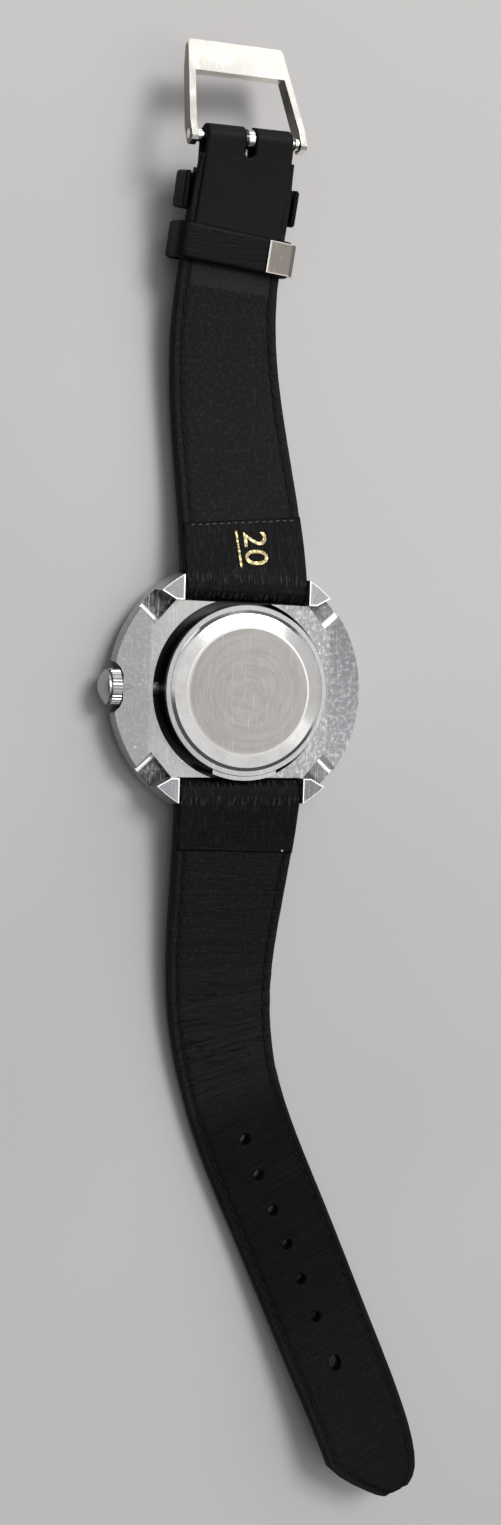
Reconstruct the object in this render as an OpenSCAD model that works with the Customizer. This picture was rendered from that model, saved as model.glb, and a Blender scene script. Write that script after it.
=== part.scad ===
// Hand-wound wristwatch lying face down: crystal on the table, case back up (+Z),
// twelve o'clock along +Y, crown along -X. The origin is on the hand axis at the
// crystal's outer face. Millimetres.

/* [Case] */
// Radius of the case plate seen from behind
case_r = 20; // [19:0.25:21.5]
// How far the flank swells past the plate
flank_swell = 0.3; // [0.1:0.05:0.6]
// Height of the plate's back face
plate_z = 5.5; // [5.4:0.05:5.7]
// Height of the shell's front face, where the bezel starts
shell_z = 1.6; // [1.5:0.05:1.8]
// Height of the lug pads' back faces
pad_z = 7.5; // [6.8:0.1:8.2]
// Height of the floors of the four notches beside the lugs
notch_z = 4.2; // [3.8:0.1:4.8]
// Distance of the cheeks' sloping faces from the middle
cheek_x = 14.5; // [14.2:0.1:15.5]
// Outward slope of the cheeks, in degrees
cheek_fall = 4.5; // [2:0.5:7]
// Half width of the bevel at the ends of the cheeks
cheek_bevel = 0.36; // [0.2:0.02:0.5]
// Distance between the lugs
lug_gap = 20.1; // [19.8:0.1:20.6]
// Distance of the strap wall from the hand axis
wall_y = 13.3; // [13.1:0.05:13.35]
// Height of the shelf under the strap roll
shelf_z = 3.0; // [2.9:0.05:3.05]
// Reach of that shelf from the hand axis
shelf_y = 15.5; // [15.3:0.05:15.9]
// Depth of the crown notch, from the plate's edge
crown_notch = 1.5; // [1.2:0.1:1.8]
// Half width of the crown notch at its floor; its shoulders clear the crown
crown_notch_w = 1.9; // [1.6:0.1:2.2]

/* [Inner case and back] */
// Outer radius of the inner case's wall
inner_r = 12.95; // [12.9:0.05:13.1]
// Bore of the inner case
inner_bore = 11.9; // [11.85:0.05:12]
// Height of the inner case's rim
inner_z = 8.5; // [8.3:0.05:8.8]
// Radius of the inner case's front flange
flange_r = 15; // [14.8:0.05:15.1]
// Thickness of that flange
flange_t = 0.5; // [0.4:0.05:0.55]
// Width of the dark groove around the inner case
groove_w = 1.05; // [0.8:0.05:1.2]
// Radius of the case back where its bevel starts
back_r = 12.1; // [12.05:0.05:12.2]
// Radius of the flat turned disc on the case back
disc_r = 9.5; // [8.5:0.1:10.5]
// Height of that disc
back_z = 9.3; // [9.1:0.05:9.8]
// Wall of the case back
back_wall = 0.7; // [0.5:0.05:0.9]
// Width of the knife slot in the bevel
slot_w = 4.6; // [3:0.1:6]
// Width of the pry lip at six o'clock
lip_w = 10.2; // [6:0.2:12]
// Reach of the pry lip past the inner case's wall
lip_out = 0.62; // [0.4:0.02:0.7]

/* [Front] */
// Radius of the crystal
crystal_r = 14.4; // [14.3:0.05:14.5]
// Thickness of the crystal
crystal_t = 1.1; // [1:0.05:1.15]
// Width of the crystal's seal
seal_w = 0.3; // [0.2:0.02:0.4]
// Radius of the bezel's foot
bezel_r = 18; // [17:0.1:18.5]
// How far the bezel's face stands back from the crystal's
bezel_drop = 0.25; // [0.15:0.05:0.5]
// Radius of the dial
dial_r = 13.4; // [13.2:0.05:13.6]
// Thickness of the dial
dial_t = 0.4; // [0.3:0.02:0.45]
// Radius of the opening over the dial
opening_r = 12.6; // [12:0.1:12.9]
// Length of the hour markers
marker_len = 2.2; // [1.5:0.1:3]
// Height of the hour markers
marker_h = 0.18; // [0.1:0.02:0.2]
// Length of the hour hand
hour_len = 6.6; // [5:0.1:7.5]
// Length of the minute hand
minute_len = 10.2; // [8:0.1:11.5]
// Length of the seconds hand
seconds_len = 11; // [8:0.1:12]
// Thickness of each hand
hand_t = 0.12; // [0.1:0.01:0.14]

/* [Crown] */
// Height of the winding stem's axis
stem_z = 4; // [3.95:0.01:4.05]
// Radius of the crown over its teeth
crown_r = 2.8; // [2.4:0.05:3]
// Length of the toothed band
band_len = 1.4; // [1.2:0.05:1.8]
// Height of the domed cap past the band
dome_len = 1.7; // [1:0.05:2]
// Width of the groove between the toothed band and the cap
crown_groove = 0.3; // [0.2:0.05:0.4]
// Number of crown teeth
crown_teeth = 34; // [24:1:40]
// Radius of the stem
stem_r = 0.6; // [0.5:0.01:0.65]
// Outer radius of the stem tube
tube_r = 1.25; // [1.1:0.01:1.3]
// Pull of the crown from winding to setting
crown_pull = 1; // [0.6:0.05:1.1]

/* [Movement] */
// Radius of the movement
move_r = 11.4; // [11.3:0.05:11.45]
// Thickness of the mainplate
plate_t = 1.6; // [1.55:0.01:1.65]
// Radius of the centre wheel over its teeth
centre_r = 2.75; // [2.7:0.01:2.8]
// Radius of the fourth wheel over its teeth
fourth_r = 2.6; // [2.5:0.01:2.65]
// Radius of the train pinions over their leaves
pinion_r = 0.55; // [0.5:0.01:0.56]
// Radius of the barrel over its teeth
barrel_r = 4.6; // [4.4:0.05:4.65]
// Radius of the centre pinion over its leaves
centre_pinion_r = 1.15; // [1:0.01:1.2]
// Radius of the crown wheel over its teeth
crown_wheel_r = 2.1; // [1.9:0.02:2.15]
// Radius of the balance wheel
balance_r = 3.2; // [2.8:0.05:3.3]
// Radius of the escape wheel over its teeth
escape_r = 1.9; // [1.7:0.02:1.95]

/* [Strap] */
// Distance of the spring bars from the hand axis
bar_y = 15.4; // [15.35:0.01:15.45]
// Height of the spring bars
bar_z = 5.2; // [5.15:0.01:5.25]
// Radius of the strap's roll around a spring bar
roll_r = 1.85; // [1.7:0.01:1.87]
// Width of the straps between the lugs
strap_w = 19.7; // [19:0.05:19.75]
// Width of the straps past their taper
tail_w = 15.8; // [14:0.1:16.4]
// Length of the taper
taper_len = 46; // [30:1:52]
// Length of the buckle strap, from spring bar to buckle pin
buckle_strap_len = 66; // [64:0.5:70]
// Length of the strap with holes, from spring bar to tip
hole_strap_len = 121; // [116:0.5:126]
// Thickness of the lining
lining_t = 0.8; // [0.5:0.05:1]
// Distance of the first hole from the spring bar
first_hole = 57; // [50:0.5:62]
// Distance between holes
hole_pitch = 6.7; // [5.5:0.1:7]
// Number of holes
hole_count = 7; // [5:1:8]
// Radius of a hole
hole_r = 1.0; // [0.8:0.05:1.2]

/* [Keepers and buckle] */
// Width of a keeper along the strap
keeper_w = 5.2; // [4:0.1:5.4]
// Thickness of a keeper's leather
keeper_t = 0.9; // [0.8:0.05:1.1]
// Height of the space for the other strap's end
keeper_gap = 2.2; // [2.1:0.05:2.4]
// Distance of the fixed keeper's middle from the buckle pin
fixed_keeper_at = 8.2; // [8:0.1:9]
// Distance of the free keeper's middle from the buckle pin
free_keeper_at = 15.4; // [15.2:0.1:20]
// Radius of the buckle pin
pin_r = 0.65; // [0.5:0.01:0.7]
// Radius of the collars that centre the strap on the pin
collar_r = 0.95; // [0.8:0.05:1.1]
// Inner width of the buckle at its pin
buckle_w = 16.4; // [16:0.1:17]
// Outer width of the buckle at its bar
bar_w = 15.2; // [14.5:0.1:16.2]
// Distance from the pin to the bar's far edge
buckle_len = 14.3; // [13.5:0.1:15]
// Width of the flat bar
buckle_bar = 4.8; // [3.5:0.1:5.5]
// Thickness of the buckle's metal
buckle_t = 1; // [0.8:0.05:1.3]
// Width of the tongue
tongue_w = 1.4; // [1:0.05:1.5]

/* [Hidden] */
// Smoothness of round surfaces
$fn = 96;
// Gap of a running fit, on the radius
run = 0.05;
// Gap between parts that only face each other
gap = 0.05;
// Steps along a strap
steps = 44;

// Heights through the front, from the crystal inwards
ring_z = crystal_t;
dial_z = shelf_z - flange_t - dial_t;
dial_back = dial_z + dial_t;
flange_z = dial_back;
groove_r = inner_r + groove_w;
hour_z = dial_z - marker_h - 0.02 - hand_t;
minute_z = hour_z - 0.12 - hand_t;
seconds_z = minute_z - 0.1 - hand_t;

// Heights through the movement, from the dial backwards
plate_front = dial_back + 0.1;
plate_back = plate_front + plate_t;
drum_z = plate_back + 0.07;
drum_t = 0.66;
bridge_z = drum_z + drum_t + 0.07;
recess_z = bridge_z + 0.3;
wheel_z = recess_z + gap;
wheel_t = 0.3;
bridge_top = wheel_z + wheel_t + 0.25;
centre_z = bridge_z;
third_z = centre_z + 0.22;
fourth_z = third_z + 0.2;
train_z = fourth_z + 0.2;
train_top = train_z + 0.7;
escape_z = plate_back + 0.55;
balance_z = plate_back + 0.9;
hair_z = balance_z + 0.55;
cock_z = hair_z + 0.2;
cock_top = cock_z + 0.7;

// Plan of the movement
barrel_d = barrel_r + centre_pinion_r + gap;
barrel_c = barrel_d * [cos(125), sin(125)];
third_c = (centre_r + pinion_r + gap) * [cos(-100), sin(-100)];
third_r = centre_r;
escape_pinion_r = 0.5;
escape_c = (fourth_r + escape_pinion_r + gap) * [cos(-20), sin(-20)];
balance_c = [6.6, 3.6];
lever_d = balance_c - escape_c;
pallet_c = escape_c + lever_d * 0.45;
lever_a = atan2(lever_d[1], lever_d[0]);
pinion_x = -8.8;
bridge_screw_a = [-3, 10.05];
bridge_screw_b = [-10.15, 2.8];
wind_r = wheel_z - gap - stem_z;
crown_wheel_c = [-7.3, 1.45];
ratchet_r = norm(barrel_c - crown_wheel_c) - crown_wheel_r - gap;
clutch_x = pinion_x + 0.55 + 0.05 + 0.6;
clutch_r = 0.9;
post_x = -9.85;
post_y = -0.42;
lever_c = [post_x - crown_pull / 2, post_y - 2.48];
minute_r = 1.5;
cannon_r = 0.8;
minute_c = (minute_r + cannon_r + gap) * [cos(-60), sin(-60)];
hour_r = 1.7;

// Teeth and turning rates of the train
barrel_teeth = 72;
centre_leaves = 12;
centre_teeth = 64;
third_teeth = 60;
fourth_teeth = 80;
train_leaves = 8;
escape_teeth = 15;

// Places of the strap, from the spring bars
bar_half = lug_gap / 2;
bar_tube_half = bar_half - 1.75;
bar_tube_r = 0.85;
bar_tip_r = 0.42;
bar_bore_r = bar_tube_r + run;
pin_at = buckle_strap_len;
fixed_at = pin_at - fixed_keeper_at;
free_at = pin_at - free_keeper_at;
loop_r = pin_r + run + 0.95;
crown_x = crown_notch - case_r - 0.55;

// Bend towards the lining, sideways curve and twist of each strap, in radians per
// millimetre, at round distances from the spring bar
buckle_bend = [[0, 0.005], [20, 0.0075], [40, 0.0085], [58, 0.0095], [70, 0.0105]];
buckle_sway = [[0, 0.0135], [20, 0.0015], [40, -0.014], [58, 0.0095], [70, 0.0135]];
buckle_twist = [[0, -0.002], [20, 0], [40, 0.0035], [58, 0.002]];
buckle_dip = 8.8;
hole_bend = [[0, 0.001], [15, 0.002], [32, 0.004], [50, 0.003], [95, 0.002], [121, 0.002]];
hole_sway = [[0, -0.006], [15, -0.002], [32, 0.0155], [50, 0.0125], [70, -0.0025],
    [95, 0.001], [121, -0.018]];
hole_twist = [[0, -0.003], [15, -0.003], [32, 0], [70, 0.001], [95, -0.004], [121, -0.008]];
hole_dip = 7;

// Shared shapes and functions

// A vector turned by a rotation vector in radians
function turned(v, om) =
    let (a = norm(om), k = a > 0 ? om / a : [0, 0, 1], b = a * 180 / PI)
    v * cos(b) + cross(k, v) * sin(b) + k * (k * v) * (1 - cos(b));

// Place, direction and width axis of a strap after one step
function advanced(f, s, ds, side, bend, sway, twist) =
    let (n = cross(f[2], f[1]) * side,
        om = (lookup(s, bend) * side * f[2] + lookup(s, twist) * f[1]
            + lookup(s, sway) * n) * ds)
    [f[0] + ds * turned(f[1], om / 2), turned(f[1], om), turned(f[2], om)];

// The chain of such places along a strap
function strap_path(side, dip, len, bend, sway, twist) =
    let (ds = len / steps)
    [for (i = 0, f = [[0, side * bar_y, bar_z], [0, side * cos(dip), -sin(dip)], [1, 0, 0]];
        i <= steps;
        f = advanced(f, (i + 0.5) * ds, ds, side, bend, sway, twist), i = i + 1) f];

buckle_path = strap_path(1, buckle_dip, buckle_strap_len, buckle_bend, buckle_sway,
    buckle_twist);
hole_path = strap_path(-1, hole_dip, hole_strap_len, hole_bend, hole_sway, hole_twist);

// Place on a path at any distance, straight past its ends
function place_at(path, len, s) =
    let (t = s / len * steps, i = max(0, min(steps - 1, floor(t))), q = t - i,
        a = path[i], b = path[i + 1], r = max(0, min(1, q)),
        d = a[1] * (1 - r) + b[1] * r, w = a[2] * (1 - r) + b[2] * r)
    [a[0] * (1 - r) + b[0] * r + d * (q - r) * len / steps, d / norm(d), w / norm(w)];

// A point beside a path: u along its width, v towards the lining
function beside(f, side, u, v) = f[0] + f[2] * u + cross(f[2], f[1]) * side * v;

// Matrix that stands a shape on a path: X its width, Y onwards, Z the lining side
function stand(f, side) =
    let (n = cross(f[2], f[1]) * side)
    [[f[2][0], f[1][0], n[0], f[0][0]], [f[2][1], f[1][1], n[1], f[0][1]],
     [f[2][2], f[1][2], n[2], f[0][2]], [0, 0, 0, 1]];

// A closed skin through rings of equal length; other picks the second way to split
// each four-sided face, so that leather and lining share one seam surface
module loft(rings, flip, other = false) {
    m = len(rings[0]);
    n = len(rings);
    caps = concat([for (k = [1 : m - 2]) [0, k, k + 1]],
        [for (k = [1 : m - 2]) [(n - 1) * m, (n - 1) * m + k + 1, (n - 1) * m + k]]);
    walls = [for (i = [0 : n - 2], k = [0 : m - 1])
        let (a = i * m + k, b = i * m + (k + 1) % m)
        each other ? [[a, a + m, b + m], [a, b + m, b]] : [[a, a + m, b], [b, a + m, b + m]]];
    all = concat(caps, walls);
    polyhedron(points = [for (r = rings) each r],
        faces = flip ? [for (t = all) [t[0], t[2], t[1]]] : all);
}

// A wheel with pointed teeth, its underside at z = 0
module toothed(r, n, t, depth) {
    linear_extrude(t)
        polygon([for (i = [0 : n - 1]) each [
            r * [cos(i * 360 / n), sin(i * 360 / n)],
            (r - depth) * [cos((i + 0.5) * 360 / n), sin((i + 0.5) * 360 / n)]]]);
}

// A train wheel: toothed rim, spokes and hub
module spoked(r, n, t, spokes, hub) {
    difference() {
        toothed(r, n, t, 0.2);
        translate([0, 0, -1])
            cylinder(r = r - 0.55, h = t + 2, $fn = 48);
    }
    for (k = [0 : spokes - 1])
        rotate([0, 0, k * 360 / spokes])
            translate([0, -0.12, 0])
                cube([r - 0.45, 0.24, t]);
    cylinder(r = hub, h = t, $fn = 32);
}

module ring(r_out, r_in, t) {
    difference() {
        cylinder(r = r_out, h = t);
        translate([0, 0, -1])
            cylinder(r = r_in, h = t + 2);
    }
}

module along_x(x0, x1, r) {
    translate([x0, 0, 0])
        rotate([0, 90, 0])
            cylinder(r = r, h = x1 - x0);
}

module place(c, z) {
    translate([c[0], c[1], z])
        children();
}

// Case

// Profile of the shell, turned about the hand axis
module shell_blank(top) {
    r1 = case_r + flank_swell;
    rotate_extrude()
        polygon([[0, shell_z], [case_r - 0.4, shell_z], [r1, shell_z + 0.9],
            [r1, shell_z + 1.6], [case_r, plate_z - 0.15],
            [case_r - 0.15, top], [0, top]]);
}

// Corner points of the notch beside a lug, then of the pad, in one quarter
notch_in = [13.7, 9.9];
notch_end = [case_r - 6.5, wall_y + 1.2];
pad_in = [lug_gap / 2 + 1.25, wall_y];

module lug_notch() {
    out = 1.5;
    polygon([notch_in, notch_in + out * 3 * [0.74, 0.67], notch_end + [1.6, 2.2],
        notch_end, pad_in, pad_in - [0.55, 0]]);
}

module lug_pad() {
    polygon([notch_end, notch_end + [2, 3.2], [bar_half, case_r], [bar_half, wall_y],
        pad_in]);
}

// Planes that slope the cheeks outwards and bevel their ends
module cheek_cuts() {
    far = case_r + 2;
    for (sx = [-1, 1])
        scale([sx, 1, 1])
            rotate([90, 0, 0])
                translate([0, 0, -12.9])
                    linear_extrude(25.8)
                        polygon([[cheek_x, plate_z],
                            [far, plate_z - (far - cheek_x) * tan(cheek_fall)],
                            [far, plate_z + 1], [cheek_x, plate_z + 1]]);
    for (sx = [-1, 1], sy = [-1, 1])
        scale([sx, sy, 1])
            translate([notch_in[0], notch_in[1], plate_z])
                rotate([0, 0, atan2(0.67, 0.74)])
                    rotate([45, 0, 0])
                        translate([0, -cheek_bevel, -cheek_bevel])
                            cube([6, 2 * cheek_bevel, 2 * cheek_bevel]);
}

module case_shell() {
    lug_hole = bar_tip_r + run;
    color("silver")
        difference() {
            union() {
                shell_blank(plate_z);
                intersection() {
                    shell_blank(pad_z);
                    for (sx = [-1, 1], sy = [-1, 1])
                        scale([sx, sy, 1])
                            linear_extrude(pad_z + 1)
                                lug_pad();
                }
            }
            for (sx = [-1, 1], sy = [-1, 1])
                scale([sx, sy, 1])
                    translate([0, 0, notch_z])
                        linear_extrude(10)
                            lug_notch();
            for (sy = [-1, 1])
                scale([1, sy, 1]) {
                    translate([-bar_half, wall_y, shelf_z])
                        cube([lug_gap, 12, 10]);
                    translate([-bar_half, shelf_y, -1])
                        cube([lug_gap, 12, 10]);
                    translate([0, bar_y, bar_z])
                        along_x(-bar_half - 1.7, bar_half + 1.7, lug_hole);
                }
            cheek_cuts();
            translate([0, 0, -1])
                cylinder(r = groove_r, h = 12);
            translate([0, 0, -1])
                cylinder(r = flange_r + gap, h = shelf_z + 1);
            translate([0, 0, -1])
                linear_extrude(12)
                    polygon([[-case_r - 2, -crown_r - 3.2], [-case_r, -crown_r - 1.2],
                        [crown_x + 0.1, -crown_r - 0.15],
                        [crown_notch - case_r, -crown_notch_w],
                        [crown_notch - case_r, crown_notch_w],
                        [crown_x + 0.1, crown_r + 0.15],
                        [-case_r, crown_r + 1.2], [-case_r - 2, crown_r + 3.2]]);
            translate([0, 0, stem_z])
                along_x(-case_r, 0, tube_r + run);
        }
}

module mid_case() {
    top_seat = inner_z - 0.9;
    color("gainsboro")
        difference() {
            union() {
                rotate_extrude()
                    polygon([[inner_bore, flange_z], [flange_r, flange_z],
                        [flange_r, flange_z + flange_t], [inner_r, flange_z + flange_t],
                        [inner_r, inner_z - 0.1], [inner_r - 0.1, inner_z],
                        [back_r + gap, inner_z], [back_r + gap, top_seat],
                        [inner_bore, top_seat]]);
                intersection() {
                    translate([0, 0, inner_z - 1.1])
                        ring(inner_r + lip_out, inner_r - 0.3, 0.8);
                    translate([-lip_w / 2, -inner_r - 2, 0])
                        cube([lip_w, 8, 12]);
                }
            }
            translate([0, 0, stem_z])
                along_x(-case_r, 0, tube_r);
        }
}

module case_back() {
    seat = inner_z - 0.9 + 0.2;
    color("lightgray")
        difference() {
            rotate_extrude()
                polygon([[0, back_z], [disc_r - 0.1, back_z], [disc_r, back_z - 0.05],
                    [disc_r + 0.15, back_z - 0.16], [back_r - 0.5, inner_z + 0.22],
                    [back_r, inner_z + 0.02], [back_r, seat], [back_r - back_wall, seat],
                    [back_r - back_wall, inner_z - 0.3], [back_r - 1.3, back_z - back_wall],
                    [0, back_z - back_wall]]);
            rotate([0, 0, 142])
                translate([back_r - 0.35, -slot_w / 2, inner_z - 0.28])
                    cube([2, slot_w, 2]);
        }
}

module back_gasket() {
    color("dimgray")
        translate([0, 0, inner_z - 0.9])
            ring(back_r, back_r - 0.2, 0.2);
}

module front_bezel() {
    foot = shell_z;
    face = bezel_drop;
    color("silver")
        rotate_extrude()
            polygon([[crystal_r + seal_w, face], [crystal_r + seal_w + 0.8, face],
                [bezel_r - 0.9, face + 0.55], [bezel_r, face + 1.0], [bezel_r, foot],
                [crystal_r + seal_w, foot]]);
}

module crystal() {
    color("lightcyan", 0.4)
        rotate_extrude()
            polygon([[0, 0], [crystal_r - 0.25, 0], [crystal_r, 0.25],
                [crystal_r, crystal_t], [0, crystal_t]]);
}

module crystal_seal() {
    color("dimgray")
        translate([0, 0, bezel_drop + 0.1])
            ring(crystal_r + seal_w, crystal_r, shell_z - bezel_drop - 0.1);
}

module tension_ring() {
    color("gray")
        rotate_extrude()
            polygon([[crystal_r - 0.35, ring_z], [crystal_r - gap, ring_z],
                [crystal_r - gap, shell_z + 0.02], [flange_r - 0.2, shell_z + 0.02],
                [flange_r - 0.2, dial_back], [dial_r + gap, dial_back],
                [dial_r + gap, dial_z], [opening_r, dial_z]]);
}

module stem_tube() {
    color("goldenrod")
        translate([0, 0, stem_z])
            difference() {
                along_x(crown_x - 0.55, -inner_bore - 0.15, tube_r);
                along_x(-case_r, 0, stem_r + run);
            }
}

module crown() {
    bite = 0.16;
    n = crown_teeth;
    color("silver")
        translate([crown_x, 0, stem_z])
            rotate([0, -90, 0])
                difference() {
                    union() {
                        linear_extrude(band_len)
                            polygon([for (i = [0 : n - 1]) each [
                                crown_r * [cos((i - 0.2) * 360 / n), sin((i - 0.2) * 360 / n)],
                                crown_r * [cos((i + 0.2) * 360 / n), sin((i + 0.2) * 360 / n)],
                                (crown_r - bite) * [cos((i + 0.5) * 360 / n),
                                    sin((i + 0.5) * 360 / n)]]]);
                        translate([0, 0, band_len])
                            rotate_extrude()
                                polygon([[0, 0], [crown_r - 0.5, 0],
                                    [crown_r - 0.5, crown_groove],
                                    [crown_r - bite, crown_groove + 0.05],
                                    [crown_r - bite, crown_groove + 0.2],
                                    [crown_r - 0.45, 0.75], [crown_r - 0.95, 1.1],
                                    [crown_r - 1.7, 1.45], [crown_r - 2.3, dome_len - 0.05],
                                    [0, dome_len]]);
                    }
                    translate([0, 0, -1])
                        cylinder(r = tube_r + 0.3, h = 1 + 0.9);
                    translate([0, 0, -1])
                        cylinder(r = stem_r, h = 1 + 1.9);
                }
}

module crown_gasket() {
    color("black")
        translate([crown_x, 0, stem_z])
            rotate([0, -90, 0])
                translate([0, 0, 0.25])
                    ring(tube_r + 0.3, tube_r + run, 0.5);
}

module movement_ring() {
    color("ivory")
        difference() {
            translate([0, 0, plate_front])
                ring(inner_bore, move_r, inner_z - 0.7 - plate_front);
            translate([0, 0, stem_z])
                along_x(-case_r, 0, tube_r + run);
        }
}

// Dial and hands

module dial() {
    color("whitesmoke")
        translate([0, 0, dial_z])
            ring(dial_r, 0.95, dial_t);
}

module hour_markers() {
    outer = opening_r - 0.6;
    color("gainsboro")
        for (h = [0 : 11])
            rotate([0, 0, h * 30])
                translate([0, outer - marker_len / 2, dial_z - marker_h / 2])
                    cube([h % 3 == 0 ? 0.9 : 0.55, marker_len, marker_h], center = true);
}

// A baton hand about its hub, pointing along +Y
module baton(len, w, hub, bore) {
    difference() {
        union() {
            cylinder(r = hub, h = hand_t, $fn = 48);
            translate([-w / 2, -hub - w, 0])
                cube([w, len + hub + w, hand_t]);
        }
        translate([0, 0, -1])
            cylinder(r = bore, h = 2, $fn = 32);
    }
}

module hour_hand() {
    color("silver")
        translate([0, 0, hour_z])
            rotate([0, 0, 30 * 10.15])
                baton(hour_len, 0.8, 0.95, 0.62);
}

module minute_hand() {
    color("silver")
        translate([0, 0, minute_z])
            rotate([0, 0, 54])
                baton(minute_len, 0.65, 0.7, 0.35);
}

module seconds_hand() {
    color("silver")
        translate([0, 0, seconds_z])
            rotate([0, 0, 180])
                difference() {
                    union() {
                        baton(seconds_len, 0.18, 0.45, 0.14);
                        translate([0, -2.6, 0])
                            cylinder(r = 0.5, h = hand_t, $fn = 32);
                        translate([-0.09, -2.6, 0])
                            cube([0.18, 2.2, hand_t]);
                    }
                    translate([0, 0, -1])
                        cylinder(r = 0.14, h = 2, $fn = 32);
                }
}

// Movement

module mainplate() {
    boss_w = 2.1;
    color("goldenrod")
        difference() {
            union() {
                difference() {
                    translate([0, 0, plate_front])
                        cylinder(r = move_r, h = plate_t);
                    translate([0, 0, plate_front - 1])
                        cylinder(r = 4.1, h = 1.5);
                }
                place(minute_c, plate_front - 0.04)
                    cylinder(r = 0.2, h = 0.64, $fn = 24);
                intersection() {
                    cylinder(r = move_r, h = 20);
                    translate([-move_r - 1, -boss_w, plate_back - 0.1])
                        cube([2.9, boss_w * 2, stem_z + stem_r + 0.25 - plate_back + 0.1]);
                }
            }
            translate([0, 0, plate_front - 1])
                cylinder(r = 0.75, h = 5, $fn = 32);
            translate([pinion_x - 0.75, -wind_r - 0.1, plate_front - 1])
                cube([4.1, wind_r * 2 + 0.2, 5]);
            translate([0, 0, stem_z])
                along_x(-move_r - 1, -4.2, stem_r + run);
            translate([post_x - 1.5, lever_c[1] - 0.6, plate_front - 1])
                cube([2.1, -lever_c[1] + 0.6, 1 + 0.5]);
            translate([post_x - crown_pull - 0.3, post_y - 0.35, plate_front])
                cube([crown_pull + 0.6, 0.75, 1.2]);
            place(barrel_c, plate_front - 1)
                cylinder(r = 0.5 + run, h = 5, $fn = 32);
            for (c = [third_c, escape_c, pallet_c, balance_c])
                place(c, plate_back - 0.5)
                    cylinder(r = 0.3, h = 2, $fn = 32);
        }
}

// Plan of the bridge over the barrel
module barrel_bridge_plan() {
    difference() {
        intersection() {
            circle(r = move_r - 0.1);
            polygon([[-12, -1.6], [-12, 12], [2.2, 12], [1.4, 5], [0, 3.5], [-3.6, 0.4],
                [-4.4, -1.6]]);
        }
        circle(r = centre_r + 0.35);
    }
}

module barrel_bridge() {
    color("silver")
        difference() {
            union() {
                translate([0, 0, bridge_z])
                    linear_extrude(bridge_top - bridge_z)
                        barrel_bridge_plan();
                for (c = [bridge_screw_a, bridge_screw_b])
                    place(c, plate_back)
                        cylinder(r = 0.55, h = bridge_z - plate_back + 0.1, $fn = 32);
            }
            place(barrel_c, recess_z)
                cylinder(r = ratchet_r + 0.1, h = 3, $fn = 64);
            place(crown_wheel_c, recess_z)
                cylinder(r = crown_wheel_r + 0.1, h = 3, $fn = 64);
            place(barrel_c, bridge_z - 1)
                cylinder(r = 0.5 + run, h = 5, $fn = 32);
            translate([pinion_x - 0.75, -wind_r - 0.1, bridge_z - 1])
                cube([1.5, wind_r * 2 + 0.2, 1 + recess_z - bridge_z + gap]);
            translate([0, 0, stem_z])
                along_x(clutch_x - 1, clutch_x + 1.6, clutch_r + 0.1);
            place(click_c, recess_z)
                cylinder(r = 0.95, h = 3, $fn = 32);
            place(spring_c, recess_z)
                rotate([0, 0, 62])
                    translate([-0.4, -0.35, 0])
                        cube([3.1, 0.9, 3]);
        }
}

module train_bridge_plan() {
    difference() {
        intersection() {
            circle(r = move_r - 0.1);
            polygon([[-2.6, -12], [-2.2, 0.9], [0, 1.7], [2.2, 1.2], [4.6, -0.4],
                [12, -2.4], [12, -12]]);
        }
        place(balance_c, 0)
            circle(r = balance_r + 0.3);
    }
}

module train_bridge() {
    color("silver")
        difference() {
            union() {
                translate([0, 0, train_z])
                    linear_extrude(train_top - train_z)
                        train_bridge_plan();
                for (c = [[-1.6, -10.2], [8.6, -5.4], [4.4, -9.6]])
                    place(c, plate_back)
                        cylinder(r = 0.7, h = train_z - plate_back + 0.1, $fn = 32);
            }
            for (c = [[0, 0], third_c, escape_c])
                place(c, train_z - 1)
                    cylinder(r = 0.45, h = 5, $fn = 32);
        }
}

module balance_cock() {
    foot = [4.1, 8.7];
    arm = foot - balance_c;
    color("silver")
        difference() {
            union() {
                place(foot, plate_back)
                    cylinder(r = 1.5, h = cock_top - plate_back, $fn = 48);
                place(balance_c, cock_z)
                    cylinder(r = 1.1, h = cock_top - cock_z, $fn = 48);
                place(balance_c, cock_z)
                    rotate([0, 0, atan2(arm[1], arm[0])])
                        translate([0, -0.9, 0])
                            cube([norm(arm), 1.8, cock_top - cock_z]);
            }
            place(balance_c, cock_z - 1)
                cylinder(r = 0.3, h = 3, $fn = 32);
        }
}

module pallet_bridge() {
    foot = [7.4, -0.9];
    arm = foot - pallet_c;
    color("silver")
        difference() {
            union() {
                place(foot, plate_back)
                    cylinder(r = 0.55, h = balance_z - 0.05 - plate_back, $fn = 32);
                place(pallet_c, balance_z - 0.17)
                    cylinder(r = 0.45, h = 0.12, $fn = 32);
                place(pallet_c, balance_z - 0.17)
                    rotate([0, 0, atan2(arm[1], arm[0])])
                        translate([0, -0.35, 0])
                            cube([norm(arm), 0.7, 0.12]);
            }
            place(pallet_c, balance_z - 1)
                cylinder(r = 0.17, h = 3, $fn = 24);
        }
}

module barrel_drum() {
    color("goldenrod")
        place(barrel_c, drum_z)
            difference() {
                union() {
                    toothed(barrel_r, barrel_teeth, 0.2, 0.2);
                    cylinder(r = barrel_r - 0.35, h = drum_t);
                }
                translate([0, 0, 0.12])
                    cylinder(r = barrel_r - 0.6, h = drum_t - 0.24);
                translate([0, 0, -1])
                    cylinder(r = 0.5 + run, h = 3, $fn = 32);
            }
}

// A flat spiral ribbon between two radii
module spiral(r0, r1, turns, w, h) {
    n = turns * 20;
    inner = [for (i = [0 : n]) let (a = i * 360 * turns / n, r = r0 + (r1 - r0) * i / n)
        [(r - w / 2) * cos(a), (r - w / 2) * sin(a)]];
    outer = [for (i = [n : -1 : 0]) let (a = i * 360 * turns / n, r = r0 + (r1 - r0) * i / n)
        [(r + w / 2) * cos(a), (r + w / 2) * sin(a)]];
    linear_extrude(h)
        polygon(concat(inner, outer));
}

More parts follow.
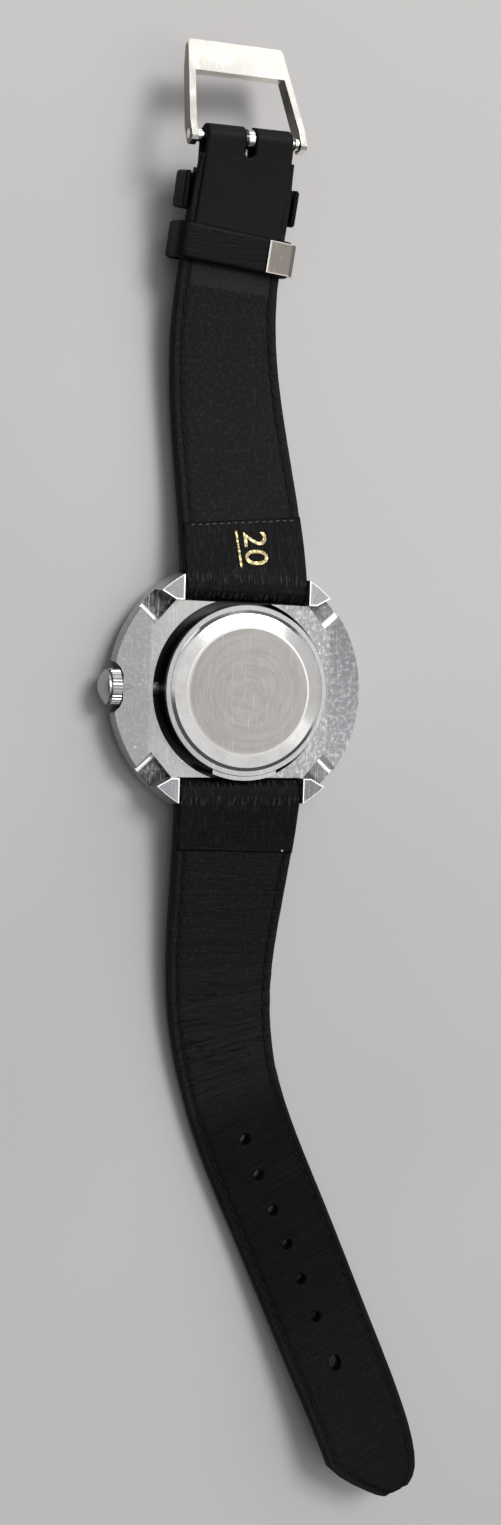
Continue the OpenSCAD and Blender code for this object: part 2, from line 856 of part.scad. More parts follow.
module mainspring() {
    color("slategray")
        place(barrel_c, drum_z + 0.16)
            spiral(0.85, barrel_r - 0.72, 6, 0.12, drum_t - 0.32);
}

module barrel_arbor() {
    color("gray")
        place(barrel_c, plate_back - 0.6) {
            cylinder(r = 0.5, h = wheel_z + wheel_t - plate_back + 0.6, $fn = 32);
            translate([0, 0, drum_z - plate_back + 0.6 + 0.16])
                cylinder(r = 0.72, h = drum_t - 0.32, $fn = 32);
        }
}

module ratchet_wheel() {
    color("silver")
        place(barrel_c, wheel_z)
            difference() {
                toothed(ratchet_r, 40, wheel_t, 0.25);
                translate([0, 0, -1])
                    cylinder(r = 0.5, h = 3, $fn = 32);
            }
}

module crown_wheel() {
    color("silver")
        place(crown_wheel_c, wheel_z)
            difference() {
                toothed(crown_wheel_r, 28, wheel_t, 0.25);
                translate([0, 0, -1])
                    cylinder(r = 0.5 + run, h = 3, $fn = 32);
            }
}

// Places of the click and its spring beside the ratchet wheel
click_c = barrel_c + (ratchet_r + 0.95) * [cos(62), sin(62)];
spring_c = barrel_c + (ratchet_r + 0.75) * [cos(22), sin(22)];

module click() {
    color("gray")
        place(click_c, wheel_z)
            rotate([0, 0, 62])
                difference() {
                    union() {
                        cylinder(r = 0.5, h = wheel_t, $fn = 32);
                        linear_extrude(wheel_t)
                            polygon([[-0.1, -0.5], [-0.85, -0.62], [-0.5, 0.3]]);
                    }
                    translate([0, 0, -1])
                        cylinder(r = 0.2 + run, h = 3, $fn = 24);
                }
}

module click_spring() {
    color("gray")
        place(spring_c, wheel_z)
            rotate([0, 0, 62]) {
                cylinder(r = 0.22, h = wheel_t, $fn = 24);
                translate([0, -0.06, 0])
                    cube([1.5, 0.12, wheel_t]);
            }
}

module centre_wheel() {
    color("goldenrod")
        difference() {
            union() {
                translate([0, 0, plate_back + 0.04])
                    toothed(centre_pinion_r, centre_leaves, 0.28, 0.2);
                translate([0, 0, plate_front + 0.16])
                    cylinder(r = 0.55, h = centre_z - plate_front - 0.16, $fn = 32);
                translate([0, 0, centre_z])
                    spoked(centre_r, centre_teeth, 0.12, 4, 0.6);
            }
            translate([0, 0, -1])
                cylinder(r = 0.25, h = 10, $fn = 32);
        }
}

module third_wheel() {
    color("goldenrod")
        place(third_c, 0) {
            translate([0, 0, centre_z - 0.05])
                toothed(pinion_r, train_leaves, 0.22, 0.12);
            translate([0, 0, plate_back - 0.4])
                cylinder(r = 0.14, h = train_z - plate_back + 0.8, $fn = 24);
            translate([0, 0, third_z])
                spoked(third_r, third_teeth, 0.12, 4, 0.5);
        }
}

module fourth_wheel() {
    color("goldenrod") {
        translate([0, 0, third_z - 0.03])
            toothed(pinion_r, train_leaves, 0.18, 0.12);
        translate([0, 0, seconds_z])
            cylinder(r = 0.14, h = train_z + 0.4 - seconds_z, $fn = 24);
        translate([0, 0, fourth_z])
            spoked(fourth_r, fourth_teeth, 0.12, 4, 0.5);
    }
}

module escape_wheel() {
    n = escape_teeth;
    color("goldenrod")
        place(escape_c, 0) {
            translate([0, 0, fourth_z - 0.04])
                toothed(escape_pinion_r, train_leaves, 0.2, 0.12);
            translate([0, 0, plate_back - 0.4])
                cylinder(r = 0.12, h = train_z - plate_back + 0.8, $fn = 24);
            translate([0, 0, escape_z])
                difference() {
                    linear_extrude(0.12)
                        polygon([for (i = [0 : n - 1]) let (a = i * 360 / n) each [
                            escape_r * [cos(a), sin(a)],
                            (escape_r - 0.02) * [cos(a + 4), sin(a + 4)],
                            (escape_r - 0.5) * [cos(a + 7), sin(a + 7)],
                            (escape_r - 0.5) * [cos(a + 19), sin(a + 19)]]]);
                    for (k = [0 : 3])
                        rotate([0, 0, k * 90 + 45])
                            translate([0.75, 0, -1])
                                cylinder(r = 0.3, h = 3, $fn = 24);
                }
        }
}

module pallet_fork() {
    reach = norm(lever_d) * 0.55 - 1.15;
    arm = norm(lever_d) * 0.45 - escape_r - 0.12;
    color("gray")
        place(pallet_c, 0)
            rotate([0, 0, lever_a]) {
                translate([0, 0, plate_back - 0.4])
                    cylinder(r = 0.12, h = 1.2, $fn = 24);
                translate([0, 0, escape_z - 0.02])
                    linear_extrude(0.16)
                        polygon([[-arm, -0.9], [-arm + 0.25, -1.15], [0.25, -0.25],
                            [reach, -0.12], [reach + 0.25, -0.3], [reach + 0.25, 0.3],
                            [reach, 0.12], [0.25, 0.25], [-arm + 0.25, 1.15], [-arm, 0.9],
                            [-0.2, 0.15], [-0.2, -0.15]]);
            }
}

module balance_wheel() {
    color("goldenrod")
        place(balance_c, 0) {
            translate([0, 0, balance_z])
                ring(balance_r, balance_r - 0.4, 0.35);
            for (k = [0, 1])
                rotate([0, 0, k * 90 + 20])
                    translate([-balance_r + 0.2, -0.15, balance_z + 0.1])
                        cube([balance_r * 2 - 0.4, 0.3, 0.15]);
            translate([0, 0, plate_back - 0.4])
                cylinder(r = 0.14, h = cock_z + 0.2 - plate_back + 0.4, $fn = 24);
            translate([0, 0, plate_back + 0.25])
                cylinder(r = 0.8, h = 0.15, $fn = 48);
            translate([0, 0, plate_back + 0.3])
                cylinder(r = 0.35, h = balance_z - plate_back, $fn = 32);
        }
}

module hairspring() {
    color("steelblue")
        place(balance_c, hair_z)
            spiral(0.5, 1.6, 5, 0.05, 0.12);
    color("steelblue")
        place(balance_c + [1.6, 0], hair_z)
            cylinder(r = 0.12, h = cock_z - hair_z + 0.1, $fn = 24);
}

module cannon_pinion() {
    color("gray")
        difference() {
            union() {
                translate([0, 0, plate_front + 0.06])
                    toothed(cannon_r, 12, 0.36, 0.15);
                translate([0, 0, minute_z])
                    cylinder(r = 0.35, h = plate_front - minute_z + 0.1, $fn = 32);
            }
            translate([0, 0, plate_front + 0.16])
                cylinder(r = 0.55, h = 2, $fn = 32);
            translate([0, 0, -1])
                cylinder(r = 0.2, h = 10, $fn = 32);
        }
}

module minute_wheel() {
    color("goldenrod")
        place(minute_c, plate_front + 0.1)
            difference() {
                union() {
                    translate([0, 0, 0.08])
                        toothed(minute_r, 36, 0.14, 0.15);
                    translate([0, 0, -0.14])
                        toothed(minute_c_pinion, 10, 0.24, 0.12);
                }
                translate([0, 0, -1])
                    cylinder(r = 0.2 + run, h = 3, $fn = 24);
            }
}

// Radius of the minute wheel's own pinion, which turns the hour wheel
minute_c_pinion = norm(minute_c) - hour_r - gap;

module hour_wheel() {
    color("goldenrod")
        difference() {
            union() {
                translate([0, 0, plate_front - 0.06])
                    toothed(hour_r, 40, 0.1, 0.15);
                translate([0, 0, hour_z])
                    cylinder(r = 0.62, h = plate_front - hour_z, $fn = 32);
            }
            translate([0, 0, -1])
                cylinder(r = 0.35 + run, h = 10, $fn = 32);
        }
}

module winding_stem() {
    groove = 0.8;
    square_x = pinion_x + 0.55;
    color("gray")
        translate([0, 0, stem_z])
            difference() {
                union() {
                    along_x(crown_x - 1.9, square_x, stem_r);
                    translate([square_x - 0.1, -0.35, -0.35])
                        cube([3.15, 0.7, 0.7]);
                }
                difference() {
                    along_x(post_x - groove / 2, post_x + groove / 2, stem_r + 1);
                    along_x(post_x - groove, post_x + groove, 0.35);
                }
            }
}

module winding_pinion() {
    color("gray")
        translate([pinion_x - 0.55, 0, stem_z])
            rotate([0, 90, 0])
                difference() {
                    toothed(wind_r, 14, 1.1, 0.25);
                    translate([0, 0, -1])
                        cylinder(r = stem_r + run, h = 4, $fn = 32);
                }
}

module sliding_clutch() {
    color("gray")
        translate([clutch_x - 0.6, 0, stem_z])
            difference() {
                union() {
                    rotate([0, 90, 0])
                        toothed(clutch_r, 12, 0.5, 0.15);
                    along_x(0.3, 1.4, clutch_r - 0.25);
                    translate([1.2, 0, 0])
                        rotate([0, 90, 0])
                            toothed(clutch_r, 12, 0.4, 0.15);
                }
                translate([-1, -0.35 - run, -0.35 - run])
                    cube([5, 0.7 + 2 * run, 0.7 + 2 * run]);
            }
}

module setting_lever() {
    post = 0.22;
    arm = [post_x, post_y] - lever_c;
    color("gray") {
        place(lever_c, plate_front + 0.06)
            difference() {
                union() {
                    cylinder(r = 0.5, h = 0.35, $fn = 32);
                    rotate([0, 0, atan2(arm[1], arm[0])])
                        translate([0.4, -0.3, 0])
                            cube([norm(arm) - 0.1, 0.6, 0.35]);
                }
                translate([0, 0, -1])
                    cylinder(r = 0.2 + run, h = 3, $fn = 24);
            }
        translate([post_x, post_y, plate_front + 0.1])
            cylinder(r = post, h = stem_z - 0.36 - plate_front - 0.1, $fn = 24);
    }
}

module jewels() {
    color("crimson") {
        for (c = [[0, 0], third_c, escape_c])
            place(c, train_top - 0.3)
                ring(0.45, 0.17, 0.25, $fn = 32);
        place(balance_c, cock_top - 0.35)
            ring(0.3, 0.17, 0.3, $fn = 32);
        for (c = [third_c, escape_c, pallet_c, balance_c])
            place(c, plate_back - 0.3)
                ring(0.3, 0.17, 0.25, $fn = 32);
    }
}

module bridge_screws() {
    color("lightsteelblue")
        for (q = [[bridge_screw_a, bridge_top], [bridge_screw_b, bridge_top],
            [[-1.6, -10.2], train_top], [[8.6, -5.4], train_top], [[4.4, -9.6], train_top],
            [[4.1, 8.7], cock_top]])
            place(q[0], q[1])
                difference() {
                    cylinder(r = 0.7, h = 0.25, $fn = 32);
                    translate([-1, -0.1, 0.12])
                        cube([2, 0.2, 1]);
                }
}

// Spring bars

module spring_bar_tubes() {
    color("silver")
        for (sy = [-1, 1])
            translate([0, sy * bar_y, bar_z])
                difference() {
                    along_x(-bar_tube_half, bar_tube_half, bar_tube_r);
                    along_x(-bar_tube_half - 1, -bar_tube_half + 2.6, bar_tip_r + run);
                    along_x(bar_tube_half - 2.6, bar_tube_half + 1, bar_tip_r + run);
                }
}

module bar_tip(sx, sy) {
    color("gainsboro")
        translate([0, sy * bar_y, bar_z])
            scale([sx, 1, 1]) {
                along_x(bar_tube_half - 1.2, bar_half + 1.2, bar_tip_r);
                along_x(bar_half - 0.35, bar_half - 0.1, bar_tube_r);
            }
}

// Straps

// Half width of a strap at a distance from its spring bar
function half_at(s) =
    lookup(s, [[0, strap_w / 2], [6, strap_w / 2 - 0.15], [taper_len, tail_w / 2]]);
function buckle_half_at(s) = half_at(s) - lookup(s, [[pin_at - 8, 0], [pin_at - 1, 0.5]]);

// Heights of the lining face, the seam and the outer face of the buckle strap
function buckle_top(s) = lookup(s, [[0, roll_r], [8, roll_r - 0.25], [30, 1.25], [56, 1.15],
    [pin_at - 4, 1.3], [pin_at, loop_r]]);
function buckle_low(s) = lookup(s, [[0, -roll_r], [8, -roll_r + 0.1], [30, -1.3], [56, -1.1],
    [pin_at - 4, -1.2], [pin_at, -loop_r]]);
function hole_top(s) = lookup(s, [[0, roll_r], [8, roll_r - 0.25], [30, 1.25], [60, 1],
    [hole_strap_len, 0.95]]);
function hole_low(s) = lookup(s, [[0, -roll_r], [8, -roll_r + 0.1], [30, -1.3], [60, -1.05],
    [hole_strap_len, -0.95]]);

// Ring of the padded outer leather: flat against the seam, crowned below
function leather_ring(f, side, hl, hr, seam, low) =
    let (edge = low * 0.55 + seam * 0.1)
    [beside(f, side, -hl, seam), beside(f, side, hr, seam), beside(f, side, hr, edge),
     beside(f, side, hr - 0.35, low * 0.75), beside(f, side, hr * 0.66, low * 0.95),
     beside(f, side, 0, low), beside(f, side, -hl * 0.66, low * 0.95),
     beside(f, side, -hl + 0.35, low * 0.75), beside(f, side, -hl, edge)];

// Ring of the lining: flat against the seam, its upper edges eased
function lining_ring(f, side, hl, hr, seam, top) =
    [beside(f, side, -hl, seam), beside(f, side, -hl, top - 0.2),
     beside(f, side, -hl + 0.3, top), beside(f, side, hr - 0.3, top),
     beside(f, side, hr, top - 0.2), beside(f, side, hr, seam)];

// Stations along the straps; the lining starts past the roll
lining_start = roll_r + 0.6;
buckle_stations = [lining_start, 5, 8, 12, 16, 20, 24, 28, 32, 36, 40, 44, 48, 52, 56, 60,
    pin_at - 4.5, pin_at - 2, pin_at];
hole_stations = [lining_start, 5, 8, 12, 16, 20, 24, 28, 32, 36, 40, 44, 48, 52, 56, 60, 66,
    72, 78, 84, 90, 96, 102, 108, hole_strap_len - 9];
tip_rows = [[6, 1.6, 0.1], [4, 3.2, 0.3], [2, 5.2, 0.8], [0.8, 6.6, 1.6], [0, 7.9, 2.9]];

module buckle_strap_leather() {
    tail = place_at(buckle_path, pin_at, pin_at);
    color("#1b1b1d")
        difference() {
            union() {
                translate([0, bar_y, bar_z])
                    along_x(-strap_w / 2, strap_w / 2, roll_r);
                loft([for (s = concat([0], buckle_stations))
                    leather_ring(place_at(buckle_path, pin_at, s), 1, buckle_half_at(s),
                        buckle_half_at(s), s < lining_start ? buckle_top(s)
                        : buckle_top(s) - lining_t, buckle_low(s))], false);
                multmatrix(stand(tail, 1))
                    along_x(-buckle_half_at(pin_at), buckle_half_at(pin_at), loop_r);
            }
            translate([0, bar_y, bar_z])
                along_x(-20, 20, bar_bore_r);
            multmatrix(stand(tail, 1)) {
                along_x(-20, 20, pin_r + run);
                translate([-tongue_w / 2 - 0.2, -4.6, -4])
                    cube([tongue_w + 0.4, 9, 4 + loop_r + 1]);
            }
        }
}

module buckle_strap_lining() {
    tail = place_at(buckle_path, pin_at, pin_at);
    color("#3a3a3d")
        difference() {
            loft([for (s = [for (q = buckle_stations) if (q <= pin_at - 2) q])
                lining_ring(place_at(buckle_path, pin_at, s), 1, buckle_half_at(s),
                    buckle_half_at(s), buckle_top(s) - lining_t, buckle_top(s))], false, true);
            multmatrix(stand(tail, 1))
                translate([-tongue_w / 2 - 0.2, -2.6, -4])
                    cube([tongue_w + 0.4, 8, 8]);
        }
}

module strap_holes() {
    for (k = [0 : hole_count - 1])
        multmatrix(stand(place_at(hole_path, hole_strap_len, first_hole + k * hole_pitch), -1))
            translate([0, 0, -4])
                cylinder(r = hole_r, h = 8, $fn = 32);
}

// Stations of the strap with holes, each with what its tip takes off left and right
hole_rows = concat([for (s = hole_stations) [s, 0, 0]],
    [for (t = tip_rows) [hole_strap_len - t[0], t[1], t[2]]]);

module hole_strap_leather() {
    color("#1b1b1d")
        difference() {
            union() {
                translate([0, -bar_y, bar_z])
                    along_x(-strap_w / 2, strap_w / 2, roll_r);
                loft([for (q = concat([[0, 0, 0]], hole_rows)) let (s = q[0])
                    leather_ring(place_at(hole_path, hole_strap_len, s), -1,
                        half_at(s) - q[1], half_at(s) - q[2],
                        s < lining_start ? hole_top(s) : hole_top(s) - lining_t,
                        hole_low(s))], true);
            }
            translate([0, -bar_y, bar_z])
                along_x(-20, 20, bar_bore_r);
            strap_holes();
        }
}

module hole_strap_lining() {
    color("#3a3a3d")
        difference() {
            loft([for (q = hole_rows) let (s = q[0])
                lining_ring(place_at(hole_path, hole_strap_len, s), -1, half_at(s) - q[1],
                    half_at(s) - q[2], hole_top(s) - lining_t, hole_top(s))], true, true);
            strap_holes();
        }
}

// Keepers, clip and buckle

// Clearances of the keepers round the strap
keeper_side = 0.35;
keeper_over = 0.4;

module fixed_keeper() {
    f = place_at(buckle_path, pin_at, fixed_at);
    w = half_at(fixed_at) + keeper_side;
    low = buckle_low(fixed_at) - keeper_gap;
    top = buckle_top(fixed_at) - lining_t + 0.4;
    color("#1b1b1d")
        multmatrix(stand(f, 1))
            translate([0, keeper_w / 2, 0])
                rotate([90, 0, 0])
                    difference() {
                        linear_extrude(keeper_w)
                            polygon([[-w - keeper_t, top], [-w - keeper_t, low + 0.8],
                                [-w - 0.3, low - keeper_t + 0.2], [-w + 1, low - keeper_t],
                                [w - 1, low - keeper_t], [w + 0.3, low - keeper_t + 0.2],
                                [w + keeper_t, low + 0.8], [w + keeper_t, top]]);
                        translate([0, 0, -1])
                            linear_extrude(keeper_w + 2)
                                polygon([[-w, top + 1], [-w, low + 1], [-w + 1, low],
                                    [w - 1, low], [w, low + 1], [w, top + 1]]);
                    }
}

module free_keeper() {
    f = place_at(buckle_path, pin_at, free_at);
    w = half_at(free_at) + keeper_side + 0.1;
    low = buckle_low(free_at) - keeper_gap;
    top = buckle_top(free_at) + keeper_over;
    t = keeper_t;
    color("#1b1b1d")
        multmatrix(stand(f, 1))
            translate([0, keeper_w / 2, 0])
                rotate([90, 0, 0])
                    difference() {
                        linear_extrude(keeper_w)
                            polygon([[-w - t, top - 0.2], [-w - t, low + 0.8],
                                [-w, low - t], [w, low - t], [w + t, low + 0.8],
                                [w + t, top - 0.2], [w + t - 0.9, top + t - 0.2],
                                [-w - t + 0.9, top + t - 0.2]]);
                        translate([0, 0, -1])
                            linear_extrude(keeper_w + 2)
                                polygon([[-w, top], [-w, low + 0.8], [-w + 0.8, low],
                                    [w - 0.8, low], [w, low + 0.8], [w, top]]);
                    }
}

module keeper_clip() {
    f = place_at(buckle_path, pin_at, free_at);
    w = half_at(free_at) + keeper_side + 0.1 + keeper_t + 0.03;
    top = buckle_top(free_at) + keeper_over + keeper_t - 0.2 + 0.03;
    low = buckle_low(free_at) - keeper_gap + 0.8;
    t = 0.35;
    color("silver")
        multmatrix(stand(f, 1))
            translate([0, keeper_w / 2 - 0.3, 0])
                rotate([90, 0, 0])
                    linear_extrude(keeper_w - 0.6)
                        polygon([[w - 4.4, top], [w - 0.9, top], [w, top - 0.9], [w, low],
                            [w + t, low], [w + t, top - 0.75], [w - 0.75, top + t],
                            [w - 4.4, top + t]]);
}

module buckle_pin() {
    end = buckle_w / 2 + buckle_t;
    leather = buckle_half_at(pin_at) + 0.15;
    color("silver")
        multmatrix(stand(place_at(buckle_path, pin_at, pin_at), 1)) {
            along_x(-end - 0.1, end + 0.1, pin_r);
            along_x(-buckle_w / 2 + 0.1, -leather, collar_r);
            along_x(leather, buckle_w / 2 - 0.1, collar_r);
        }
}

module buckle_frame() {
    inner = buckle_w / 2;
    neck = bar_w / 2;
    t = buckle_t;
    far = buckle_len;
    near = buckle_len - buckle_bar;
    color("silver")
        multmatrix(stand(place_at(buckle_path, pin_at, pin_at), 1))
            rotate([buckle_rest, 0, 0])
                difference() {
                    union() {
                        for (sx = [-1, 1])
                            scale([sx, 1, 1])
                                intersection() {
                                    translate([0, 0, -1.1])
                                        linear_extrude(2.2)
                                            polygon([[inner, -1.2], [inner + t, -1.2],
                                                [inner + t, 1.6], [neck, far - 0.5],
                                                [neck - t, far - 0.5], [inner, 1.6]]);
                                    rotate([90, 0, 90])
                                        linear_extrude(20)
                                            polygon([[-1.2, -0.7], [-0.8, -1.1], [2, -1.1],
                                                [near + 1, -0.9], [far - 0.5, -0.1],
                                                [far - 0.5, 1.1], [-0.8, 1.1], [-1.2, 0.7]]);
                                }
                        translate([0, 0, -0.1])
                            linear_extrude(1.2)
                                polygon([[-neck - 0.1, near], [neck + 0.1, near],
                                    [neck, far - 0.4], [neck - 0.4, far],
                                    [-neck + 0.4, far], [-neck, far - 0.4]]);
                    }
                    along_x(-20, 20, pin_r);
                    translate([-1, near - 1, -1])
                        cube([2, buckle_bar + 2, 1.15]);
                }
}

// Rest angles of buckle and tongue about their pin
buckle_rest = -35;
tongue_rest = -142;

module buckle_tongue() {
    w = tongue_w / 2;
    reach = buckle_len - 2.4;
    color("silver")
        multmatrix(stand(place_at(buckle_path, pin_at, pin_at), 1))
            rotate([tongue_rest, 0, 0])
                difference() {
                    union() {
                        along_x(-w, w, pin_r + 0.75);
                        translate([-w, 0, 0])
                            rotate([90, 0, 90])
                                linear_extrude(2 * w)
                                    polygon([[0, 0.1], [reach * 0.45, 0.1],
                                        [reach * 0.75, -0.4], [reach - 0.2, -0.75],
                                        [reach, -0.55], [reach, -0.15], [reach * 0.75, 0.4],
                                        [reach * 0.45, 0.95], [0, 0.95]]);
                    }
                    along_x(-2, 2, pin_r + run);
                }
}

case_shell();
mid_case();
case_back();
back_gasket();
front_bezel();
crystal();
crystal_seal();
tension_ring();
stem_tube();
crown();
crown_gasket();
movement_ring();
dial();
hour_markers();
hour_hand();
minute_hand();
seconds_hand();
mainplate();
barrel_bridge();
train_bridge();
balance_cock();
pallet_bridge();
barrel_drum();
mainspring();
barrel_arbor();
ratchet_wheel();
crown_wheel();
click();
click_spring();
centre_wheel();
third_wheel();
fourth_wheel();
escape_wheel();
pallet_fork();
balance_wheel();
hairspring();
cannon_pinion();
minute_wheel();
hour_wheel();
winding_stem();
winding_pinion();
sliding_clutch();
setting_lever();
jewels();
bridge_screws();
spring_bar_tubes();
bar_tip(-1, 1);  // bar_tip_12_left
bar_tip(1, 1);  // bar_tip_12_right
bar_tip(-1, -1);  // bar_tip_6_left
bar_tip(1, -1);  // bar_tip_6_right
buckle_strap_leather();
buckle_strap_lining();
hole_strap_leather();
hole_strap_lining();
fixed_keeper();
free_keeper();
keeper_clip();
buckle_pin();
buckle_frame();
buckle_tongue();
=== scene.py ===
import bpy
import bmesh
import math
from mathutils import Matrix, Quaternion, Vector, noise


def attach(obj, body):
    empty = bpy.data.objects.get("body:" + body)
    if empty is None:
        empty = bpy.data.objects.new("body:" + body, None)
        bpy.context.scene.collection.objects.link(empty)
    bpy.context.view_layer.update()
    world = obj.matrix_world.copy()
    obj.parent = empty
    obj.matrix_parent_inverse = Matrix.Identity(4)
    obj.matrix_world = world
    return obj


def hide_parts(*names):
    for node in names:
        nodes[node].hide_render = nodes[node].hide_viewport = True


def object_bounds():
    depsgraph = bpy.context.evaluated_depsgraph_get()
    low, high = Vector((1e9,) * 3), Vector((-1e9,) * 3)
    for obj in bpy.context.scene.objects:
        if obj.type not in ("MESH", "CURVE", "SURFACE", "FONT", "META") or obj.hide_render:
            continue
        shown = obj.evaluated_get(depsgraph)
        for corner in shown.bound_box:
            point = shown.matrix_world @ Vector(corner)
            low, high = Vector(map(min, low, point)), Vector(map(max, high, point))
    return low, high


# A wristwatch lying face down on a pale table: steel case, black leather strap
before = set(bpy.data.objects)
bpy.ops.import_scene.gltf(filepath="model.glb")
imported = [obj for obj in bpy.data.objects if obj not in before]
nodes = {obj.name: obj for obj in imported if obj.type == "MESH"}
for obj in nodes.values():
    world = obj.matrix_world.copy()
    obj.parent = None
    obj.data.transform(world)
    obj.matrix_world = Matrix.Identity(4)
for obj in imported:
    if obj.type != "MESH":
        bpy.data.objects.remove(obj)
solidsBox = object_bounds()
mm = 0.001
print("solids loaded:", len(nodes))


def newObject(name, data):
    obj = bpy.data.objects.new(name, data)
    bpy.context.scene.collection.objects.link(obj)
    return obj


# Camera, as fitted to the photograph, lamps and room
view = {"spot": (-0.07995, 0.00233, 0.21943), "lens": 35.29, "sensor": 36, "near": 0.01,
        "right": (0.93408, 0.03194, 0.35564), "up": (-0.00916, 0.99780, -0.06555)}
lamps = {
    "keyPanel": {"spot": (0.40, 0.56, 1.15), "size": (0.56, 0.50), "power": 10.5},
    "ceilingPanel": {"spot": (0.14, -0.10, 1.30), "size": (0.95, 2.1), "power": 5.6},
    "fillPanel": {"spot": (0.95, 0.10, 0.95), "size": (1.1, 1.4), "power": 3.2},
    "topPanel": {"spot": (0.43, 1.14, 0.45), "size": (0.9, 0.6), "power": 2.6},
}
room = {"colour": (0.105, 0.107, 0.11, 1), "strength": 1.0}


def setCamera():
    data = bpy.data.cameras.new("camera")
    data.sensor_fit, data.sensor_width = "AUTO", view["sensor"]
    data.lens, data.clip_start = view["lens"], view["near"]
    camera = newObject("camera", data)
    right = Vector(view["right"]).normalized()
    back = right.cross(Vector(view["up"]).normalized()).normalized()
    turned = Matrix((right, back.cross(right), back)).transposed().to_4x4()
    camera.matrix_world = Matrix.Translation(view["spot"]) @ turned
    bpy.context.scene.camera = camera
    bpy.context.scene.view_settings.view_transform = "Standard"


def setLamps():
    for name, lamp in lamps.items():
        data = bpy.data.lights.new(name, "AREA")
        data.shape = "RECTANGLE"
        data.size, data.size_y = lamp["size"]
        data.energy = lamp["power"]
        panel = newObject(name, data)
        panel.location = lamp["spot"]
        panel.rotation_euler = Vector(lamp["spot"]).to_track_quat("Z", "Y").to_euler()


def setRoom():
    world = bpy.data.worlds.new("room")
    bpy.context.scene.world = world
    world.use_nodes = True
    light = world.node_tree.nodes["Background"].inputs
    light["Color"].default_value = room["colour"]
    light["Strength"].default_value = room["strength"]


setCamera()
setLamps()
setRoom()
print("camera and lamps set")


# A value in a node tree, which adds and multiplies as a number does
class Field:
    def __init__(self, socket):
        self.socket, self.tree = socket, socket.id_data

    def maths(self, operation, *others, clamp=False):
        made = addNode(self.tree, "ShaderNodeMath", dict(enumerate((self, *others))),
                       operation=operation, use_clamp=clamp)
        return Field(made.outputs[0])

    def __add__(self, other):
        return self.maths("ADD", other)

    def __sub__(self, other):
        return self.maths("SUBTRACT", other)

    def __rsub__(self, other):
        made = addNode(self.tree, "ShaderNodeMath", {0: other, 1: self}, operation="SUBTRACT")
        return Field(made.outputs[0])

    def __mul__(self, other):
        return self.maths("MULTIPLY", other)

    def __abs__(self):
        return self.maths("ABSOLUTE")


# A socket takes a field's link, or a plain value as its own
def feed(node, key, value):
    socket = node.inputs[key]
    if isinstance(value, Field):
        value.tree.links.new(value.socket, socket)
    elif socket.type == "RGBA":
        socket.default_value = (*value, 1.0)
    else:
        socket.default_value = value


def addNode(tree, kind, values, **traits):
    made = tree.nodes.new(kind)
    for key, value in traits.items():
        setattr(made, key, value)
    for key, value in values.items():
        feed(made, key, value)
    return made


def ramp(source, low, high, toLow=0.0, toHigh=1.0):
    made = addNode(source.tree, "ShaderNodeMapRange",
                   {"Value": source, "From Min": low, "From Max": high, "To Min": toLow, "To Max": toHigh},
                   interpolation_type="SMOOTHSTEP")
    return Field(made.outputs["Result"])


def fall(source, low, high, top=1.0):
    return ramp(source, low, high, top, 0.0)


def larger(first, second):
    return first.maths("MAXIMUM", second)


def smaller(first, second):
    return first.maths("MINIMUM", second)


# The mix node's sockets 6 and 7 are its two colours
def blend(factor, first, second):
    made = addNode(factor.tree, "ShaderNodeMix", {0: factor, 6: first, 7: second}, data_type="RGBA")
    return Field(made.outputs[2])


# Coats of colour over a base, each with the mask that it shows through
def painted(base, *coats):
    for mask, colour in coats:
        base = blend(mask, base, colour)
    return base


def noiseAt(place, scale, detail=2.0, rough=0.5, bend=0.0):
    values = {"Vector": place, "Scale": scale, "Detail": detail, "Roughness": rough, "Distortion": bend}
    return Field(addNode(place.tree, "ShaderNodeTexNoise", values).outputs["Fac"])


def cellsAt(place, scale, randomness=1.0, feature="F1"):
    values = {"Vector": place, "Scale": scale, "Randomness": randomness}
    return Field(addNode(place.tree, "ShaderNodeTexVoronoi", values, feature=feature).outputs["Distance"])


def stretched(place, scale, turn=0.0, shift=0.0):
    values = {"Vector": place, "Scale": scale, "Rotation": (0.0, 0.0, turn), "Location": (shift, 0.0, 0.0)}
    return Field(addNode(place.tree, "ShaderNodeMapping", values).outputs["Vector"])


def split(place):
    return [Field(socket) for socket in addNode(place.tree, "ShaderNodeSeparateXYZ", {0: place}).outputs]


def joined(x, y=0.0, z=0.0):
    return Field(addNode(x.tree, "ShaderNodeCombineXYZ", {"X": x, "Y": y, "Z": z}).outputs["Vector"])


def facing(tree):
    return split(Field(addNode(tree, "ShaderNodeNewGeometry", {}).outputs["True Normal"]))


def objectPlace(tree):
    return Field(addNode(tree, "ShaderNodeTexCoord", {}).outputs["Object"])


def sheetPlace(tree, sheet):
    return Field(addNode(tree, "ShaderNodeUVMap", {}, uv_map=sheet).outputs["UV"])


# A material reads Object coordinates, or a piece's own sheet
def newMaterial(name, sheet=None):
    mat = bpy.data.materials.new(name)
    mat.use_nodes = True
    return mat, sheetPlace(mat.node_tree, sheet) if sheet else objectPlace(mat.node_tree)


looks = {"colour": "Base Color", "rough": "Roughness", "metal": "Metallic", "shine": "Specular IOR Level",
         "clear": "Transmission Weight", "bend": "IOR"}


# Gives a material its looks, and its bump as (height, strength, depth)
def dress(mat, bump, **given):
    shader = mat.node_tree.nodes["Principled BSDF"]
    for look, value in given.items():
        feed(shader, looks[look], value)
    if bump:
        height, strength, depth = bump
        made = addNode(height.tree, "ShaderNodeBump",
                       {"Height": height, "Strength": strength, "Distance": depth})
        feed(shader, "Normal", Field(made.outputs["Normal"]))
    return mat


